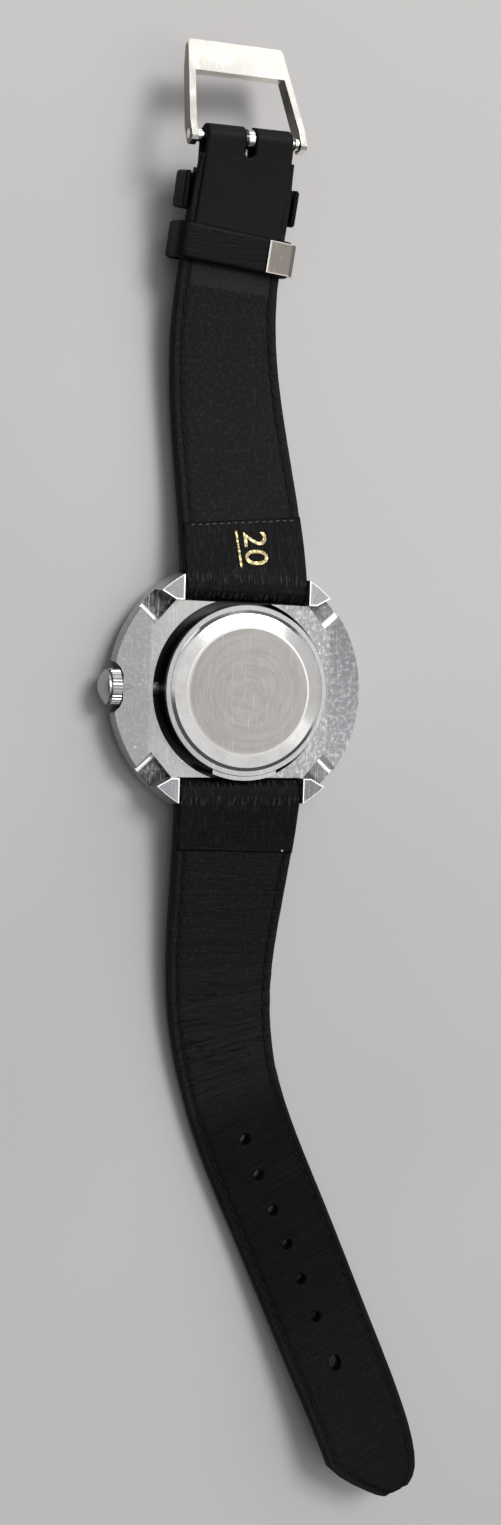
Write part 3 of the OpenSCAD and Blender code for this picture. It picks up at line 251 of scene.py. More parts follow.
# A node group with a vector and named amounts as inputs; the recipe turns them into its outputs
def makeGroup(name, recipe, **amounts):
    group = bpy.data.node_groups.new(name, "ShaderNodeTree")
    group.interface.new_socket(name="Vector", in_out="INPUT", socket_type="NodeSocketVector")
    for label, amount in amounts.items():
        socket = group.interface.new_socket(name=label, in_out="INPUT", socket_type="NodeSocketFloat")
        socket.default_value = amount
    given = group.nodes.new("NodeGroupInput")
    results = recipe(*[Field(given.outputs[label]) for label in ("Vector", *amounts)])
    for label in results:
        group.interface.new_socket(name=label, in_out="OUTPUT", socket_type="NodeSocketFloat")
    addNode(group, "NodeGroupOutput", results)
    return group


def placeGroup(group, place, **amounts):
    made = addNode(place.tree, "ShaderNodeGroup", {"Vector": place, **amounts}, node_tree=group)
    return {socket.name: Field(socket) for socket in made.outputs}


# Fine specks and hairline scratches of handled steel
def wearRecipe(place, specks, scratches, clouds):
    lines = None
    for turn, shift in ((0.5, 3.0), (2.1, 7.0), (1.2, 11.0)):
        streak = noiseAt(stretched(place, (5200.0, 170.0, 1500.0), turn, shift), 1.0, 1.0, 0.4)
        line = ramp(streak, 0.68, 0.74)
        lines = larger(lines, line) if lines else line
    specks = ramp(noiseAt(place, 2600.0, 3.0, 0.6), 0.60, 0.72) * specks
    scratches = lines * scratches
    dull = ramp(noiseAt(place, 300.0, 4.0, 0.6), 0.35, 0.70) * clouds
    return {"Light": specks.maths("MAXIMUM", scratches, clamp=True),
            "Dull": dull.maths("ADD", scratches * 0.4, clamp=True), "Height": (specks + scratches) * -1.0}


# Pores, creases and nap of leather, in the leather's own flat coordinates
def grainRecipe(place, pores, creases, ribs):
    nap = noiseAt(place, 4200.0, 3.0, 0.65)
    folds = noiseAt(stretched(place, (1500.0, 130.0, 1.0)), 1.0, 3.0, 0.6, 0.6)
    pleats = noiseAt(stretched(place, (420.0, 2300.0, 1.0)), 1.0, 2.0, 0.5)
    waves = noiseAt(stretched(place, (620.0, 85.0, 1.0)), 1.0, 2.0, 0.5, 1.2)
    height = (cellsAt(place, 2100.0, feature="SMOOTH_F1") * pores + ramp(folds, 0.36, 0.62) * creases
              + ramp(pleats, 0.34, 0.66) * ribs + nap * 0.35)
    return {"Height": height, "Tone": ramp((noiseAt(place, 180.0, 4.0, 0.6) + nap) * 0.5, 0.36, 0.64),
            "Dust": fall(cellsAt(place, 420.0), 0.05, 0.16), "Pleats": ramp(pleats, 0.50, 0.62),
            "Specks": ramp(noiseAt(place, 1700.0, 3.0, 0.7), 0.48, 0.68),
            "Wrinkles": fall(abs(waves - 0.5), 0.0, 0.045)}


# Rings left by a lathe about the hand axis
def ringsRecipe(place, rings):
    x, y = split(place)[:2]
    radius = (x * x + y * y).maths("SQRT")
    angle = y.maths("ARCTAN2", x)
    sweep = joined(radius * 900.0, angle.maths("SINE"), angle.maths("COSINE"))
    return {"Height": noiseAt(joined(radius * rings), 1.0, 4.0, 0.75),
            "Tone": ramp(noiseAt(sweep, 1.4, 3.0, 0.6), 0.3, 0.7), "Radius": radius}


steelWear = makeGroup("steelWear", wearRecipe, Specks=0.3, Scratches=0.3, Clouds=0.3)
leatherGrain = makeGroup("leatherGrain", grainRecipe, Pores=1.0, Creases=0.3, Ribs=0.0)
turnedRings = makeGroup("turnedRings", ringsRecipe, Rings=4200.0)
fineDepth = 0.03 * mm  # of scratches, grit and turned rings
polishDepth = 0.02 * mm


def paler(colour, factor):
    return tuple(min(1.0, part * factor) for part in colour)


# Steel that shows its wear
def newSteel(name, specks=0.3, scratches=0.3, clouds=0.3):
    mat, place = newMaterial(name)
    return mat, place, placeGroup(steelWear, place, Specks=specks, Scratches=scratches, Clouds=clouds)


# A plain number for rough grows with the dull clouds
def dressSteel(mat, wear, tone, rough, bump=None, metal=1.0):
    if not isinstance(rough, Field):
        rough = ramp(wear["Dull"], 0.0, 1.0, rough, rough + 0.18)
    return dress(mat, bump or (wear["Height"], 0.25, fineDepth), colour=tone, rough=rough, metal=metal)


def steelFinish(name, colour, rough, bright=None, **wornBy):
    mat, place, wear = newSteel(name, **wornBy)
    return dressSteel(mat, wear, blend(wear["Light"], colour, bright or paler(colour, 1.45)), rough)


# Shell: satin plate, polished bevels and flanks; painted shade in the groove, in the notches, beside the
# crown and over the right half; painted highlight lines round the pads and along the notches.
# Pairs are the two ends of a soft edge, in metres
# Of these colours, the right half's, the lower right pad's, the one beside the crown, the groove's and the
# notches' are painted shade; the lines round the pads and along the notches are painted highlights
shell = {
    "metal": 0.7, "flank": (0.34, 0.34, 0.35), "plate": (0.34, 0.342, 0.352), "middle": (0.42, 0.41, 0.396),
    "rightHalfShade": (0.15, 0.15, 0.155), "speckle": (0.56, 0.565, 0.58), "shadeBesideCrown": (0.045, 0.044, 0.044),
    "bevel": (0.86, 0.86, 0.87), "groove": (0.020, 0.019, 0.019), "worn": (0.85, 0.85, 0.86),
    "pad": (0.28, 0.278, 0.292), "lowRightPadShade": (0.15, 0.149, 0.157), "padEdgeHighlight": (0.92, 0.92, 0.93),
    "leftNotchShade": (0.05, 0.049, 0.051), "rightNotchShade": (0.13, 0.129, 0.131), "mottle": (0.32, 0.318, 0.325),
    "notchEndShadow": (0.025, 0.025, 0.026), "notchEdgeHighlight": (0.88, 0.88, 0.89),
    "padFoot": (0.0070, 0.0072), "notchTop": (0.0044, 0.0045), "grooveEdge": (0.01402, 0.01406),
    "crownGap": (-0.0176, -0.0170), "crownHalf": (0.0034, 0.0039), "middleEdge": (0.0115, 0.0165),
    "padInner": 0.01005, "padOuter": 0.01995, "padFront": 0.0133, "padSlant": (0.878, 0.479, 0.006265),
    "notchRun": (0.74, 0.67, 0.001853), "lineWide": (0.00008, 0.00026), "sides": (-0.002, 0.002),
}


def shellSteel():
    mat, place, wear = newSteel("shellSteel")
    x, y, z = split(place)
    farX, farY = abs(x), abs(y)
    radius = (x * x + y * y).maths("SQRT")
    up = facing(place.tree)[2]
    flat = ramp(up, 0.96, 0.985)
    pad = flat * ramp(z, *shell["padFoot"])
    notch = flat * fall(z, *shell["notchTop"])
    rightSide = ramp(x, *shell["sides"])
    grit = noiseAt(place, 1500.0, 5.0, 0.75)
    speckle = ramp(grit, 0.46, 0.68) * ramp(rightSide, 0.0, 1.0, 0.42, 0.75)
    spark = fall(cellsAt(place, 760.0), 0.06, 0.16) * ramp(grit, 0.45, 0.6)
    # painted shade on the flanks beside the crown; the bevels there are left unlit as well
    shadeBesideCrown = fall(x, *shell["crownGap"]) * fall(farY, *shell["crownHalf"])
    shadeBesideCrown = shadeBesideCrown * fall(flat, 0.0, 1.0, 0.9)
    bevels = ramp(up, 0.3, 0.4) * fall(up, 0.96, 0.985) * fall(shadeBesideCrown, 0.0, 0.9)
    # notch floors: painted shade in the hollows, darker on the left side, over mottled steel, with a
    # painted highlight line along the plate and painted shadow darkest beside the lug pad
    alongY, alongX, start = shell["notchRun"]
    run = farY * alongY - farX * alongX + start
    hollow = painted(blend(rightSide, shell["leftNotchShade"], shell["rightNotchShade"]),
                     (ramp(grit, 0.44, 0.62, 0.0, 0.45), shell["mottle"]),
                     (ramp(run, 0.0022, 0.0033, 0.0, 0.85), shell["notchEndShadow"]),
                     (fall(run, 0.00045, 0.00085), shell["notchEdgeHighlight"]))
    # painted highlight line round each lug pad, where the pad's nearest edge is close
    slantY, slantX, slant = shell["padSlant"]
    edge = smaller(farX - shell["padInner"], shell["padOuter"] - radius)
    edge = smaller(edge, farY * slantY - farX * slantX - slant)
    line = pad * fall(smaller(edge, farY - shell["padFront"]), *shell["lineWide"])
    # the right half of the shell and its lower right pad are darkened: painted shade
    lowRight = rightSide * fall(y, *shell["sides"])
    # painted shade down in the groove inside the shell
    groove = fall(radius, *shell["grooveEdge"])
    base = painted(blend(flat, shell["flank"], shell["plate"]),
                   (fall(farX, *shell["middleEdge"], 0.85), shell["middle"]),
                   (ramp(rightSide, 0.0, 1.0, 0.0, 0.53), shell["rightHalfShade"]), (speckle, shell["speckle"]),
                   (shadeBesideCrown, shell["shadeBesideCrown"]), (bevels, shell["bevel"]), (notch, hollow),
                   (pad, blend(lowRight, shell["pad"], shell["lowRightPadShade"])), (line, shell["padEdgeHighlight"]),
                   (larger(spark, wear["Light"]) * 0.8, shell["worn"]), (groove, shell["groove"]))
    rough = (ramp(flat, 0.0, 1.0, 0.18, 0.15) + groove * 0.4 + larger(bevels, line) * 0.25
             + wear["Dull"] * 0.06)
    height = grit * ramp(rightSide, 0.0, 1.0, 0.3, 1.0) + wear["Height"]
    return dressSteel(mat, wear, base, rough, (height, 0.12, fineDepth), shell["metal"])


# Case back: turned disc inside a polished bevel, with a thin ring between them painted matt white as the
# highlight of a polished ridge
back = {
    "disc": (0.00935, 0.00945), "beadIn": (0.00936, 0.00944), "beadOut": (0.0097, 0.0098), "rings": 5200.0,
    "dark": (0.272, 0.258, 0.244), "light": (0.33, 0.315, 0.30), "ring": (0.40, 0.384, 0.368),
    "bevel": (0.66, 0.65, 0.64), "dull": (0.50, 0.485, 0.47), "worn": (0.80, 0.79, 0.78),
    "bead": (0.97, 0.95, 0.92), "beadMatt": 0.8, "discMatt": 0.45,
}


def backSteel():
    mat, place, wear = newSteel("backSteel", specks=0.2, scratches=0.35, clouds=0.5)
    lathe = placeGroup(turnedRings, place, Rings=back["rings"])
    disc = fall(lathe["Radius"], *back["disc"])
    bead = ramp(lathe["Radius"], *back["beadIn"]) * fall(lathe["Radius"], *back["beadOut"])
    turned = painted(blend(lathe["Tone"], back["dark"], back["light"]),
                     (ramp(lathe["Height"], 0.35, 0.65) * 0.35, back["ring"]))
    base = painted(blend(wear["Dull"], back["bevel"], back["dull"]), (disc, turned),
                   (wear["Light"] * 0.5, back["worn"]), (bead, back["bead"]))
    rough = ramp(disc, 0.0, 1.0, 0.13, 0.14) + wear["Dull"] * 0.08 + bead * 0.35
    # the ring painted white is also made matt, so it shows as a painted highlight from every side
    matt = larger(bead * back["beadMatt"], disc * back["discMatt"])
    height = lathe["Height"] * disc + wear["Height"] * 0.4
    return dressSteel(mat, wear, base, rough, (height, 0.08, fineDepth), 1.0 - matt)


# Turned parts about the hand axis: rims and wheels
def turnedMetal(name, colour, rough, rings, bump):
    mat, place, wear = newSteel(name)
    height = placeGroup(turnedRings, place, Rings=rings)["Height"] + wear["Height"] * 0.5
    base = blend(wear["Light"], colour, paler(colour, 1.45))
    return dressSteel(mat, wear, base, rough, (height, bump, fineDepth))


# Inner case: bright turned rim, painted shade down in the groove
inner = {"rim": (0.36, 0.35, 0.345), "worn": (0.7, 0.69, 0.68), "deep": (0.03, 0.029, 0.029),
         "depth": (0.0070, 0.0079), "rings": 3000.0}


def innerSteel():
    mat, place, wear = newSteel("innerSteel", clouds=0.4)
    base = painted(blend(wear["Light"], inner["rim"], inner["worn"]),
                   (fall(split(place)[2], *inner["depth"]), inner["deep"]))
    lathe = placeGroup(turnedRings, place, Rings=inner["rings"])
    return dressSteel(mat, wear, base, 0.16, (lathe["Height"], 0.12, fineDepth))


# Plates and bridges with drawn stripes or overlapping grained spots
def stripedMetal(name, colour, rough, pitch, spots=False):
    mat, place, wear = newSteel(name)
    if spots:
        wave = (cellsAt(place, 1.0 / pitch, 0.15) * 40.0).maths("SINE")
    else:
        x, y = split(place)[:2]
        wave = (x + y).maths("DIVIDE", pitch).maths("FRACT")
    base = blend(ramp(wave, -1.0 if spots else 0.0, 1.0), colour, paler(colour, 1.18))
    return dressSteel(mat, wear, base, rough, (wave, 0.2, polishDepth))


# Stem tube: drawn steel in the groove, matt as the plate where it comes out beside the crown
tube = {"drawn": (0.16, 0.16, 0.165), "worn": (0.3, 0.3, 0.31), "outer": (0.33, 0.333, 0.342),
        "outerEdge": (-0.0168, -0.0160)}


def tubeSteel():
    mat, place, wear = newSteel("tubeSteel")
    outer = fall(split(place)[0], *tube["outerEdge"])
    base = painted(blend(wear["Light"], tube["drawn"], tube["worn"]), (outer, tube["outer"]))
    return dressSteel(mat, wear, base, outer * 0.5 + 0.4, metal=1.0 - outer)


# Buckle frame: polished top faces, painted shade on the flanks of the arms
buckle = {"top": (0.93, 0.90, 0.83), "worn": (0.97, 0.96, 0.92), "flank": (0.075, 0.07, 0.062)}


def buckleSteel():
    mat, place, wear = newSteel("buckleSteel", specks=0.15, scratches=0.5, clouds=0.5)
    # faces turned sideways are darkened: painted shade
    flank = ramp(abs(facing(place.tree)[0]), 0.35, 0.8, 0.0, 0.9)
    base = painted(blend(wear["Light"], buckle["top"], buckle["worn"]), (flank, buckle["flank"]))
    return dressSteel(mat, wear, base, 0.20)


def plainPlastic(name, colour, rough, grain, bump):
    mat, place = newMaterial(name)
    soft = noiseAt(place, grain, 3.0)
    return dress(mat, (soft, bump, polishDepth), colour=blend(soft, colour, paler(colour, 0.7)),
                 rough=ramp(soft, 0.3, 0.7, rough, rough + 0.1))


# Dial with a silvered sunray
def dialSilver():
    mat, place = newMaterial("dialSilver")
    x, y = split(place)[:2]
    made = addNode(place.tree, "ShaderNodeTexNoise",
                   {"W": y.maths("ARCTAN2", x), "Scale": 90.0, "Detail": 3.0, "Roughness": 0.7},
                   noise_dimensions="1D")
    rays = Field(made.outputs["Fac"])
    silver = blend(rays, (0.62, 0.62, 0.60), (0.86, 0.86, 0.84))
    return dress(mat, (rays, 0.15, polishDepth), colour=silver,
                 rough=ramp(rays, 0.3, 0.7, 0.28, 0.42), metal=0.85)


def clearGlass():
    mat, place = newMaterial("clearGlass")
    smears = ramp(noiseAt(place, 160.0, 3.0), 0.4, 0.75, 0.02, 0.10)
    return dress(mat, None, colour=(0.95, 0.98, 0.98), rough=smears, clear=1.0, bend=1.49)


def give(finish, *names):
    for name in names:
        for slot in nodes[name].material_slots:
            slot.material = finish


give(shellSteel(), "case_shell")
give(backSteel(), "case_back")
give(innerSteel(), "mid_case")
give(tubeSteel(), "stem_tube")
give(buckleSteel(), "buckle_frame")
give(turnedMetal("rimSteel", (0.50, 0.50, 0.51), 0.22, 3600.0, 0.12), "front_bezel", "tension_ring")
give(steelFinish("crownSteel", (0.42, 0.41, 0.41), 0.22, scratches=0.4, clouds=0.6), "crown")
give(steelFinish("barSteel", (0.50, 0.50, 0.51), 0.30, clouds=0.5), "spring_bar_tubes", "bar_tip_12_left",
     "bar_tip_12_right", "bar_tip_6_left", "bar_tip_6_right")
give(steelFinish("pinSteel", (0.80, 0.79, 0.77), 0.16, clouds=0.4), "buckle_pin")
give(steelFinish("handSteel", (0.75, 0.75, 0.76), 0.12, specks=0.0, scratches=0.1), "hour_hand",
     "minute_hand", "seconds_hand", "hour_markers")
give(dialSilver(), "dial")
give(clearGlass(), "crystal")
give(plainPlastic("sealRubber", (0.03, 0.03, 0.03), 0.6, 1500.0, 0.2), "back_gasket", "crown_gasket")
give(plainPlastic("sealPlastic", (0.55, 0.55, 0.52), 0.35, 900.0, 0.1), "crystal_seal", "movement_ring")
give(stripedMetal("giltBrass", (0.70, 0.54, 0.30), 0.30, 0.0012, spots=True), "mainplate")
give(stripedMetal("nickelStripes", (0.62, 0.61, 0.59), 0.26, 0.0017), "barrel_bridge", "train_bridge",
     "balance_cock", "pallet_bridge")
give(turnedMetal("wheelBrass", (0.72, 0.55, 0.28), 0.26, 2600.0, 0.15), "barrel_drum", "centre_wheel",
     "third_wheel", "fourth_wheel", "escape_wheel", "minute_wheel", "hour_wheel", "balance_wheel")
give(turnedMetal("snailedSteel", (0.55, 0.55, 0.56), 0.24, 2400.0, 0.3), "ratchet_wheel", "crown_wheel",
     "click", "click_spring", "cannon_pinion", "winding_stem", "winding_pinion", "sliding_clutch",
     "setting_lever", "pallet_fork", "barrel_arbor", "mainspring")
give(steelFinish("bluedSteel", (0.03, 0.06, 0.30), 0.18, (0.10, 0.16, 0.5), specks=0.05, scratches=0.1),
     "hairspring", "bridge_screws")
give(plainPlastic("rubyRed", (0.45, 0.01, 0.05), 0.08, 700.0, 0.02), "jewels")
print("metal finishes given")


stitchLine = {"inset": 1.3, "channel": 0.18, "spread": 0.28, "pitch": 2.4, "length": 1.8, "thread": 0.2}
# In these marks, the rolled edge's colour is a painted highlight and the channel's a painted shade
leatherMarks = {
    "dust": (0.16, 0.16, 0.17), "specks": (0.026, 0.025, 0.030), "streaks": (0.022, 0.0215, 0.023),
    "bent": (0.0115, 0.0105, 0.012), "wrinkleShade": (0.0006, 0.0006, 0.0007), "pleat": (0.05, 0.05, 0.052),
    "darker": (0.0007, 0.0007, 0.0009), "rolledEdgeHighlight": (0.020, 0.0195, 0.022),
    "channel": (0.0004, 0.0004, 0.0005), "polished": (0.026, 0.0258, 0.029),
}


# Places along the strap, such as those of polished or creased, are in metres of its sheet
def leatherFinish(name, colour, pale, rough, pores=1.0, creases=0.5, ribs=0.0, bump=0.5, dust=0.0,
                  puckers=(), specks=0.0, streaks=0.0, polished=None, seams=0.0, darker=None, creased=None):
    mat, flat = newMaterial(name, "lay")
    grain = placeGroup(leatherGrain, flat, Pores=pores, Creases=creases, Ribs=ribs)
    run, aside = split(flat)[:2]
    tone = grain["Tone"]
    coats = [(grain[effect] * amount, leatherMarks[mark])
             for effect, mark, amount in (("Dust", "dust", dust), ("Specks", "specks", specks),
                                          ("Pleats", "streaks", streaks)) if amount]
    if creased:  # a paler band where the strap bends most on the wrist, with painted shade in its wrinkle lines
        start, full, fading, end = creased
        bends = ramp(run, start, full) * fall(run, fading, end)
        coats += [(bends * 0.45, leatherMarks["bent"]),
                  (bends * grain["Wrinkles"] * 0.85, leatherMarks["wrinkleShade"])]
    if darker:
        start, full, lighter, end = darker
        coats.append((ramp(run, start, full, 0.0, 0.9) * ramp(run, lighter, end, 1.0, 0.55),
                      leatherMarks["darker"]))
    if seams:  # painted shade in the channel under the stitches, and a painted highlight along the rolled edge outside it
        border = split(sheetPlace(flat.tree, "border"))[0]
        rolledEdgeHighlight = fall(border, 0.0001, 0.0009) * ramp(tone, 0.0, 1.0, 0.3, 1.0)
        coats += [(rolledEdgeHighlight * (0.4 * seams), leatherMarks["rolledEdgeHighlight"]),
                  (fall(abs(border - stitchLine["inset"] * mm), 0.00008, 0.00042, 0.9 * seams),
                   leatherMarks["channel"])]
    if polished:  # a band that the thin end of the folded leather has polished
        start, end, middle, reach = polished
        rubbed = ramp(run, start, start + 0.0003) * ramp(run, start + 0.0008, end, 1.0, 0.1)
        rubbed = rubbed * fall(abs(aside - middle), reach - 0.0004, reach)
        coats.append((rubbed * ramp(tone, 0.0, 1.0, 0.35, 0.75), leatherMarks["polished"]))
    for row in puckers:  # small worn pleats where the leather turns round the bar
        coats.append((fall(abs(run - row), 0.0003, 0.0009) * grain["Pleats"] * 0.5, leatherMarks["pleat"]))
    return dress(mat, (grain["Height"], bump, 0.06 * mm), colour=painted(blend(tone, colour, pale), *coats),
                 rough=ramp(tone, 0.0, 1.0, rough, rough + 0.12), shine=0.10)


def goldFoil():
    mat, flat = newMaterial("goldFoil", "lay")
    grain = placeGroup(leatherGrain, flat, Pores=1.0, Creases=0.4)
    worn = ramp(grain["Height"], 0.62, 0.85)
    return dress(mat, (grain["Height"], 0.3, 0.04 * mm), metal=0.55,
                 colour=blend(worn, (0.62, 0.52, 0.22), (0.16, 0.13, 0.06)),
                 rough=ramp(grain["Tone"], 0.0, 1.0, 0.32, 0.5))


def threadFinish(name, colour, pale):
    mat, place = newMaterial(name)
    fibres = noiseAt(place, 5200.0)
    return dress(mat, (fibres, 0.4, fineDepth), colour=blend(fibres, colour, pale), rough=0.7, shine=0.2)


leathers = {
    "outer": leatherFinish("outerLeather", (0.0036, 0.0035, 0.004), (0.006, 0.0058, 0.0064), 0.42),
    "tab": leatherFinish("tabLeather", (0.0022, 0.0021, 0.0024), (0.0046, 0.0044, 0.0048), 0.5, pores=0.5,
                         ribs=1.6, bump=0.8, dust=0.04, puckers=(0.0091, 0.0119), streaks=0.2),
    "flap": leatherFinish("flapLeather", (0.0068, 0.0067, 0.007), (0.0102, 0.01, 0.0105), 0.46, pores=0.6,
                          creases=0.4, ribs=0.5, bump=0.35, dust=0.03),
    "lining": leatherFinish("liningLeather", (0.0052, 0.0048, 0.0058), (0.0092, 0.0086, 0.0104), 0.6,
                            pores=0.8, bump=0.6, dust=0.03, specks=0.6,
                            polished=(0.0446, 0.0482, 0.0012, 0.0066), seams=0.8),
    "lowLining": leatherFinish("lowerLiningLeather", (0.0030, 0.0027, 0.0036), (0.0066, 0.006, 0.0074),
                               0.55, pores=0.8, creases=0.9, bump=0.65, dust=0.05, specks=0.35,
                               seams=1.0, darker=(0.046, 0.056, 0.080, 0.096),
                               creased=(0.020, 0.036, 0.044, 0.052)),
    "keeper": leatherFinish("keeperLeather", (0.0028, 0.0028, 0.0032), (0.0052, 0.0052, 0.0057), 0.45,
                            pores=0.5, creases=0.2, ribs=0.8, dust=0.04),
    "thread": threadFinish("blackThread", (0.003, 0.003, 0.0034), (0.008, 0.008, 0.009)),
    "threadEnd": threadFinish("threadEnd", (0.45, 0.45, 0.44), (0.75, 0.75, 0.74)),
    "paleThread": threadFinish("wornThread", (0.03, 0.03, 0.03), (0.14, 0.138, 0.135)),
    "gold": goldFoil(),
}
print("leather finishes made")


def between(table, s):
    if s <= table[0][0]:
        return table[0][1]
    for (a, b), (c, d) in zip(table, table[1:]):
        if s <= c:
            return b + (d - b) * (s - a) / (c - a)
    return table[-1][1]


# Half width of the straps, and what the buckle's end and the tip lose of it; a row of the tip is the way
# from its end, and how far it is cut in on the left and on the right
widths = {"half": [(0, 9.85), (6, 9.7), (46, 7.9)], "buckleEnd": [(58, 0), (65, 0.5)], "tipEnd": 121.0,
          "tip": [(0, 7.9, 2.9), (0.8, 6.6, 1.6), (2, 5.2, 0.8), (4, 3.2, 0.3), (6, 1.6, 0.1), (9, 0, 0)]}


def halfAt(s):
    return between(widths["half"], s)


def buckleHalf(s):
    return halfAt(s) - between(widths["buckleEnd"], s)


def uncut(s):
    return 0.0, 0.0


def tipCuts(s):
    t = widths["tipEnd"] - s
    return tuple(between([(row[0], row[side]) for row in widths["tip"]], t) for side in (1, 2))


# Routes of the two straps, as the solids have them: tables of (way along the strap, value), in mm
springBar = {"y": 15.4, "z": 5.2}
buckleRoute = {
    "side": 1, "dip": 8.8, "length": 66.0, "steps": 44, "half": buckleHalf, "cuts": uncut,
    "bend": [(0, 0.005), (20, 0.0075), (40, 0.0085), (58, 0.0095), (70, 0.0105)],
    "sway": [(0, 0.0135), (20, 0.0015), (40, -0.014), (58, 0.0095), (70, 0.0135)],
    "twist": [(0, -0.002), (20, 0), (40, 0.0035), (58, 0.002)],
    "top": [(0, 1.85), (8, 1.6), (30, 1.25), (56, 1.15), (62, 1.3), (66, 1.65)],
    "low": [(0, -1.85), (8, -1.75), (30, -1.3), (56, -1.1), (62, -1.2), (66, -1.65)],
}
holeRoute = {
    "side": -1, "dip": 7.0, "length": 121.0, "steps": 44, "half": halfAt, "cuts": tipCuts,
    "bend": [(0, 0.001), (15, 0.002), (32, 0.004), (50, 0.003), (95, 0.002), (121, 0.002)],
    "sway": [(0, -0.006), (15, -0.002), (32, 0.0155), (50, 0.0125), (70, -0.0025), (95, 0.001),
             (121, -0.018)],
    "twist": [(0, -0.003), (15, -0.003), (32, 0), (70, 0.001), (95, -0.004), (121, -0.008)],
    "top": [(0, 1.85), (8, 1.6), (30, 1.25), (60, 1.0), (121, 0.95)],
    "low": [(0, -1.85), (8, -1.75), (30, -1.3), (60, -1.05), (121, -0.95)],
}


def walk(route):
    step, side = route["length"] / route["steps"], route["side"]
    dip = math.radians(route["dip"])
    spot = Vector((0, side * springBar["y"], springBar["z"]))
    along, across = Vector((0, side * math.cos(dip), -math.sin(dip))), Vector((1, 0, 0))
    places = [(spot, along, across)]
    for i in range(route["steps"]):
        s = (i + 0.5) * step
        over = across.cross(along) * side
        turn = (across * between(route["bend"], s) * side + along * between(route["twist"], s)
                + over * between(route["sway"], s)) * step
        half, full = (Quaternion(turn.normalized(), turn.length / part) for part in (2, 1))
        spot = spot + (half @ along) * step
        along, across = full @ along, full @ across
        places.append((spot, along, across))
    return places


for route in (buckleRoute, holeRoute):
    route["places"] = walk(route)


# Place at s along a strap, with the ways along it, across it and out of its upper side
def placeOn(route, s):
    t = s / route["length"] * route["steps"]
    i = max(0, min(route["steps"] - 1, math.floor(t)))
    q = t - i
    r = max(0.0, min(1.0, q))
    a, b = route["places"][i], route["places"][i + 1]
    along, across = a[1].lerp(b[1], r), a[2].lerp(b[2], r)
    spot = a[0].lerp(b[0], r) + along * (q - r) * route["length"] / route["steps"]
    along, across = along.normalized(), across.normalized()
    return spot, along, across, across.cross(along) * route["side"]


def onStrap(route, s, u, v):
    spot, along, across, over = placeOn(route, s)
    return (spot + across * u + over * v) * mm


def topOf(route, s):
    return between(route["top"], s)


def lowOf(route, s):
    return between(route["low"], s)


def stationsFrom(a, b, step):
    n = max(2, round((b - a) / step))
    return [a + (b - a) * k / n for k in range(n + 1)]


def finishMesh(bm, name, mat, smooth=True):
    mesh = bpy.data.meshes.new(name)
    bm.to_mesh(mesh)
    bm.free()
    for face in mesh.polygons:
        face.use_smooth = smooth
    mesh.materials.append(mat)
    return newObject(name, mesh)


# A grid bent by shape(i, j) and closed to a tube; its sheets are lay(i, j), the flat place in metres, and
# border(i, j), the way to its side edge
def bentTube(name, columns, rows, mat, shape, lay, border=None):
    bm = bmesh.new()
    bmesh.ops.create_grid(bm, x_segments=columns, y_segments=rows, size=0.5)
    sheet = bm.loops.layers.uv.new("lay")
    edges = bm.loops.layers.uv.new("border") if border else None
    for face in bm.faces:
        for loop in face.loops:
            i, j = round((loop.vert.co.x + 0.5) * columns), round((loop.vert.co.y + 0.5) * rows)
            loop[sheet].uv = lay(i, j)
            if border:
                loop[edges].uv = (border(i, j), 0.0)
    for vert in bm.verts:
        vert.co = shape(round((vert.co.x + 0.5) * columns), round((vert.co.y + 0.5) * rows))
    bmesh.ops.remove_doubles(bm, verts=bm.verts, dist=0.002 * mm)
    bmesh.ops.holes_fill(bm, edges=[e for e in bm.edges if e.is_boundary], sides=0)
    bmesh.ops.triangulate(bm, faces=[f for f in bm.faces if len(f.verts) > 4])
    bmesh.ops.recalc_face_normals(bm, faces=bm.faces)
    return finishMesh(bm, name, mat)


# Cross-sections of the strap, in mm: u across it, v upwards
lining = {"thick": 0.8, "edge": 0.35, "wornEdge": 0.24, "dome": 0.10, "across": 38}
outer = {"under": 22, "seam": (-0.994, -0.5, 0.0, 0.5, 0.994), "belly": 6, "bellyRoot": 0.4545}


# Height of the lining over u: worn edges, a channel under each stitch line, a soft middle
def liningTop(u, half, top, waves):
    edge = max(0.0, abs(u) - (half - lining["edge"])) / lining["edge"]
    line = (abs(u) - (half - stitchLine["inset"])) / stitchLine["spread"]
    middle = min(1.0, abs(u) / (half - stitchLine["inset"]))
    return (top - lining["wornEdge"] * edge ** 2 - stitchLine["channel"] * math.exp(-line * line)
            + lining["dome"] * (1 - middle ** 4) + waves)


def liningRing(half, top, left, right, waves):
    points, seam = [], top - lining["thick"] - 0.02
    lean, reach = (left - right) / 2, half - (left + right) / 2
    for k in range(lining["across"] + 1):
        t = k / lining["across"]
        x = -1 + 2 * (0.275 - 0.275 * math.cos(math.pi * t) + 0.45 * t)
        points.append((lean + reach * x, liningTop(reach * x, reach, top, waves)))
    points.append((lean + reach, seam + 0.25))
    return points + [(lean + reach * x, seam) for x in (0.995, 0.6, 0.2, -0.2, -0.6, -0.995)]


# Height of the outer leather's edge, and of its rounded belly at u
def outerEdge(top, low):
    return low * 0.55 + (top - lining["thick"]) * 0.1


def outerUnder(u, half, edge, low):
    return edge + (low - edge) * (1 - min(1.0, abs(u) / half) ** outer["belly"]) ** outer["bellyRoot"]


def outerRing(half, top, low, left, right):
    seam, edge = top - lining["thick"], outerEdge(top, low)
    lean, reach = (left - right) / 2, half - (left + right) / 2
    points = [(lean + reach * x, seam) for x in outer["seam"]]
    points.append((lean + reach * 1.002, seam * 0.6 + edge * 0.4))
    for k in range(outer["under"] + 1):
        x = math.cos(math.pi * k / outer["under"])
        points.append((lean + reach * x, outerUnder(reach * x, reach, edge, low)))
    points.append((lean - reach * 1.002, seam * 0.6 + edge * 0.4))
    return points


